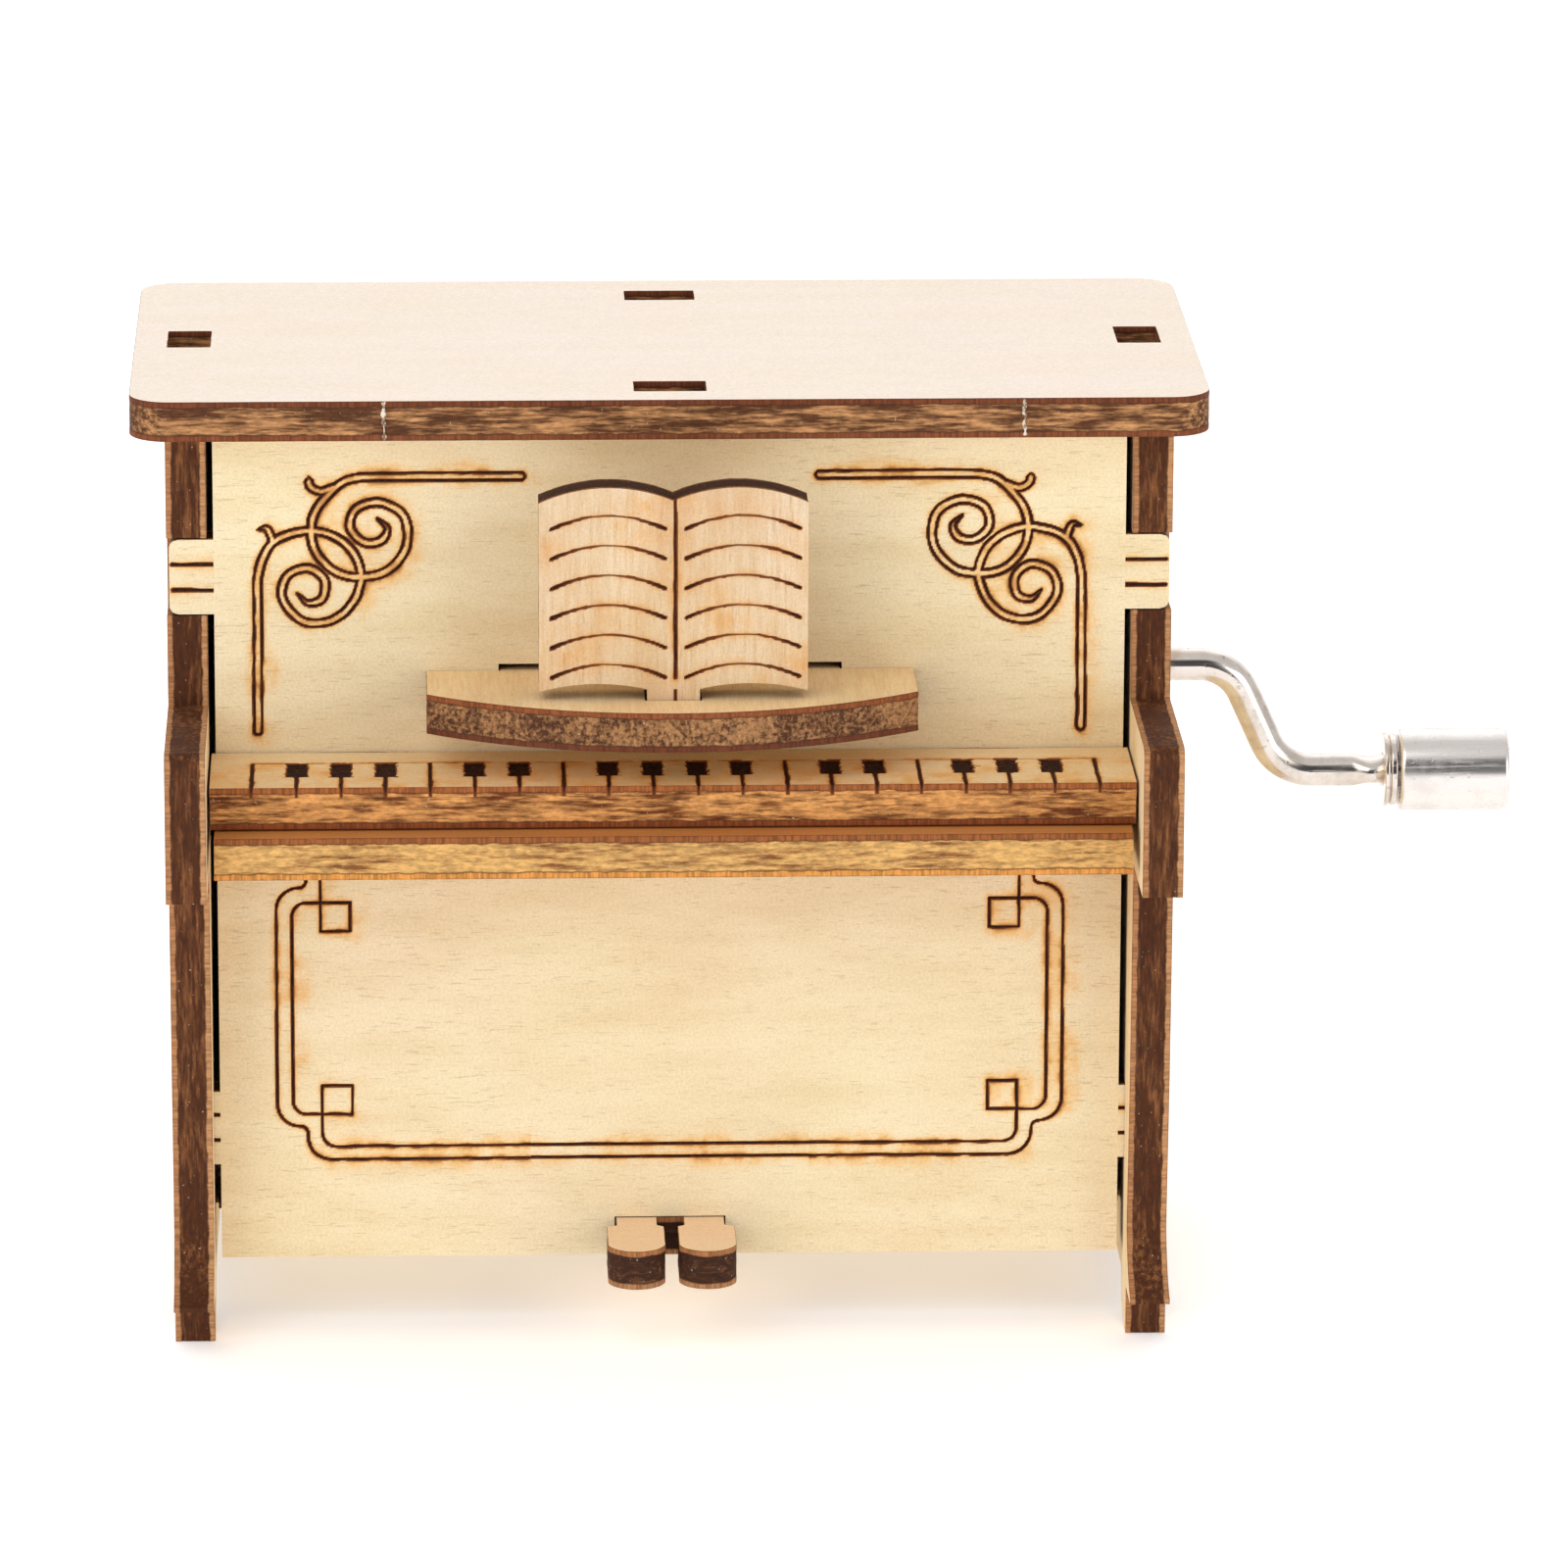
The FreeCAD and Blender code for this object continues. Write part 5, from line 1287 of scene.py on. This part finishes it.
def build_world(settings):
    """A white studio all round, with a grey band low on the camera's side that bright metal mirrors."""
    world = bpy.data.worlds.new("studio")
    bpy.context.scene.world = world
    world.use_nodes = True
    tree = world.node_tree
    tree.nodes.clear()
    direction = add_node(tree, "ShaderNodeTexCoord").outputs["Generated"]
    split = add_node(tree, "ShaderNodeSeparateXYZ", {0: direction}).outputs
    band = ranged(tree, size_of(tree, minus(tree, split[2], 0.30)), 0.30, 0.48, 1, 0)
    near = ranged(tree, split[1], -0.6, -0.3, 1, 0)
    middle = ranged(tree, size_of(tree, split[0]), 0.22, 0.5, 1, 0)
    share = times(tree, times(tree, band, near), middle)
    colour = blended(tree, share, (1.0, 1.0, 1.0, 1.0), (0.10, 0.10, 0.11, 1.0))
    background = add_node(tree, "ShaderNodeBackground", {"Color": colour, "Strength": settings.sky_strength})
    out = add_node(tree, "ShaderNodeOutputWorld")
    tree.links.new(background.outputs[0], out.inputs[0])


def build_camera(settings):
    """The camera looks slightly down at the box from a little to its left, through a long lens."""
    yaw, pitch, roll = settings.camera_yaw, settings.camera_pitch, settings.camera_roll
    ahead = Vector((math.sin(yaw) * math.cos(pitch), math.cos(yaw) * math.cos(pitch), math.sin(pitch)))
    level = Vector((math.cos(yaw), -math.sin(yaw), 0))
    above = level.cross(ahead)
    right = level * math.cos(roll) + above * math.sin(roll)
    up = above * math.cos(roll) - level * math.sin(roll)
    data = bpy.data.cameras.new("camera")
    data.sensor_width = 36.0
    data.lens = settings.camera_lens
    data.clip_start = 0.05
    camera = bpy.data.objects.new("camera", data)
    bpy.context.scene.collection.objects.link(camera)
    turn = Matrix((right, up, -ahead)).transposed()
    camera.matrix_world = Matrix.Translation(settings.camera_place) @ turn.to_4x4()
    bpy.context.scene.camera = camera


# ---------------------------------------------------------------- add-on
def size(name, description, default):
    """A setting for a length in metres."""
    return bpy.props.FloatProperty(name=name, description=description, default=default, min=0,
                                   unit="LENGTH", precision=5)


def tone(name, description, default):
    """A setting for a colour."""
    return bpy.props.FloatVectorProperty(name=name, description=description, default=default,
                                         min=0, max=1, subtype="COLOR")


def angle(name, description, degrees):
    """A setting for an angle, given in degrees."""
    return bpy.props.FloatProperty(name=name, description=description,
                                   default=math.radians(degrees), subtype="ANGLE")


def amount(name, description, default, low=0, unit="NONE"):
    """A setting for a number that has a least value."""
    return bpy.props.FloatProperty(name=name, description=description, default=default,
                                   min=low, unit=unit)


class StageSettings(bpy.types.PropertyGroup):
    """Lights, floor and camera"""
    key_power: amount("Key light", "Power of the main soft light", 3.4, unit="POWER")
    fill_power: amount("Fill light", "Power of each low light at the sides", 3.6, unit="POWER")
    back_power: amount("Back light", "Power of the light behind", 1.2, unit="POWER")
    sky_strength: amount("Studio", "Brightness of the white room", 0.72)
    floor_glow: amount("Floor glow", "Light the floor gives by itself", 0.30)
    camera_place: bpy.props.FloatVectorProperty(
        name="Camera place", description="Where the camera stands",
        default=(-0.030965, -0.710299, 0.234638), subtype="TRANSLATION", unit="LENGTH")
    camera_yaw: angle("Yaw", "Camera's turn to the right", 2.241)
    camera_pitch: angle("Pitch", "Camera's tilt, down is negative", -15.378)
    camera_roll: angle("Roll", "Camera's roll", 0.2055)
    camera_lens: amount("Lens", "Focal length", 222.44, 20, "CAMERA")


class PieceSettings(bpy.types.PropertyGroup):
    """Sizes and colours of the pieces"""
    groove: size("Groove", "Depth of the burnt lines", 0.00014)
    nib_width: size("Torn fibre", "Half width of the torn fibres on the edges", 0.00017)
    wire_run: size("Wire run", "Straight wire from the side to the first bend", 0.0032)
    wire_bend: size("Wire bend", "Radius of the crank wire's bends", 0.0038)
    wire_slope: angle("Wire slope", "How far each bend turns the wire", 65.5)
    lid_colour: tone("Lid", "Pale tone of the lid's face", WOODS["lid"][0])
    panel_colour: tone("Panels", "Pale tone of the front and back panels", WOODS["panel"][0])
    side_colour: tone("Sides", "Pale tone of the sides and the floor board", WOODS["side"][0])
    key_colour: tone("Keyboard", "Pale tone of the keyboard", WOODS["key"][0])
    bed_colour: tone("Keybed", "Pale tone of the keybed", WOODS["bed"][0])
    shelf_colour: tone("Music shelf", "Pale tone of the music shelf", WOODS["shelf"][0])
    book_colour: tone("Music book", "Pale tone of the book", WOODS["book"][0])
    pedal_colour: tone("Pedals", "Pale tone of the pedals", WOODS["pedal"][0])
    nib_colour: tone("Fibres", "Pale tone of the torn fibres", (0.84, 0.74, 0.62))
    brass_colour: tone("Drum", "Bright tone of the drum", (0.80, 0.58, 0.26))
    wire_colour: tone("Wire", "Bright tone of the crank wire and its washer", (0.76, 0.69, 0.635))
    knob_colour: tone("Knob", "Bright tone of the knob", (0.83, 0.78, 0.745))


class BuildOperator:
    """One building step, run with the settings of its group"""
    bl_options = {"REGISTER", "UNDO"}
    group = "music_box_pieces"

    def execute(self, context):
        self.build(getattr(context.scene, self.group))
        return {"FINISHED"}


class MUSICBOX_OT_sheets(BuildOperator, bpy.types.Operator):
    """Build the plain plywood pieces: lid, sides, back, floor board, shelf and pedals"""
    bl_idname = "musicbox.sheets"
    bl_label = "Plywood Sheets"
    build = staticmethod(build_sheets)


class MUSICBOX_OT_panel(BuildOperator, bpy.types.Operator):
    """Build the engraved front panel"""
    bl_idname = "musicbox.panel"
    bl_label = "Front Panel"
    build = staticmethod(build_panel)


class MUSICBOX_OT_keyboard(BuildOperator, bpy.types.Operator):
    """Build the keyboard and the keybed"""
    bl_idname = "musicbox.keyboard"
    bl_label = "Keyboard"
    build = staticmethod(build_keyboard)


class MUSICBOX_OT_book(BuildOperator, bpy.types.Operator):
    """Build the open music book"""
    bl_idname = "musicbox.book"
    bl_label = "Music Book"
    build = staticmethod(build_book)


class MUSICBOX_OT_nibs(BuildOperator, bpy.types.Operator):
    """Build the torn fibres on the lid and the shelf"""
    bl_idname = "musicbox.nibs"
    bl_label = "Torn Fibres"
    build = staticmethod(build_nibs)


class MUSICBOX_OT_crank(BuildOperator, bpy.types.Operator):
    """Build the crank wire, its washer and its knob"""
    bl_idname = "musicbox.crank"
    bl_label = "Crank"
    build = staticmethod(build_crank)


class MUSICBOX_OT_movement(BuildOperator, bpy.types.Operator):
    """Give the movement inside its metals"""
    bl_idname = "musicbox.movement"
    bl_label = "Movement"
    build = staticmethod(build_movement)


class MUSICBOX_OT_stage(BuildOperator, bpy.types.Operator):
    """Build the floor, the lights and the camera"""
    bl_idname = "musicbox.stage"
    bl_label = "Stage"
    group = "music_box_stage"
    build = staticmethod(build_stage)


STEPS = (MUSICBOX_OT_sheets, MUSICBOX_OT_panel, MUSICBOX_OT_keyboard, MUSICBOX_OT_book, MUSICBOX_OT_nibs,
         MUSICBOX_OT_crank, MUSICBOX_OT_movement, MUSICBOX_OT_stage)


class MUSICBOX_PT_panel(bpy.types.Panel):
    """Lists the building steps and the stage's settings"""
    bl_idname = "MUSICBOX_PT_panel"
    bl_label = "Music Box"
    bl_space_type = "VIEW_3D"
    bl_region_type = "UI"
    bl_category = "Music Box"

    def draw(self, context):
        for step in STEPS:
            self.layout.operator(step.bl_idname)
        for group, settings in GROUPS.items():
            for name in settings.__annotations__:
                self.layout.prop(getattr(context.scene, group), name)


GROUPS = {"music_box_pieces": PieceSettings, "music_box_stage": StageSettings}
CLASSES = (PieceSettings, StageSettings, *STEPS, MUSICBOX_PT_panel)


def register():
    for cls in CLASSES:
        bpy.utils.register_class(cls)
    for group, settings in GROUPS.items():
        setattr(bpy.types.Scene, group, bpy.props.PointerProperty(type=settings))


def unregister():
    for group in GROUPS:
        delattr(bpy.types.Scene, group)
    for cls in reversed(CLASSES):
        bpy.utils.unregister_class(cls)


def main():
    register()
    build_veneer_group()
    build_edge_group()
    build_scorch_group()
    build_metal_group()
    bpy.ops.musicbox.sheets()
    bpy.ops.musicbox.panel()
    bpy.ops.musicbox.keyboard()
    bpy.ops.musicbox.book()
    bpy.ops.musicbox.nibs()
    bpy.ops.musicbox.crank()
    bpy.ops.musicbox.movement()
    bpy.ops.musicbox.stage()


if __name__ == "__main__":
    main()
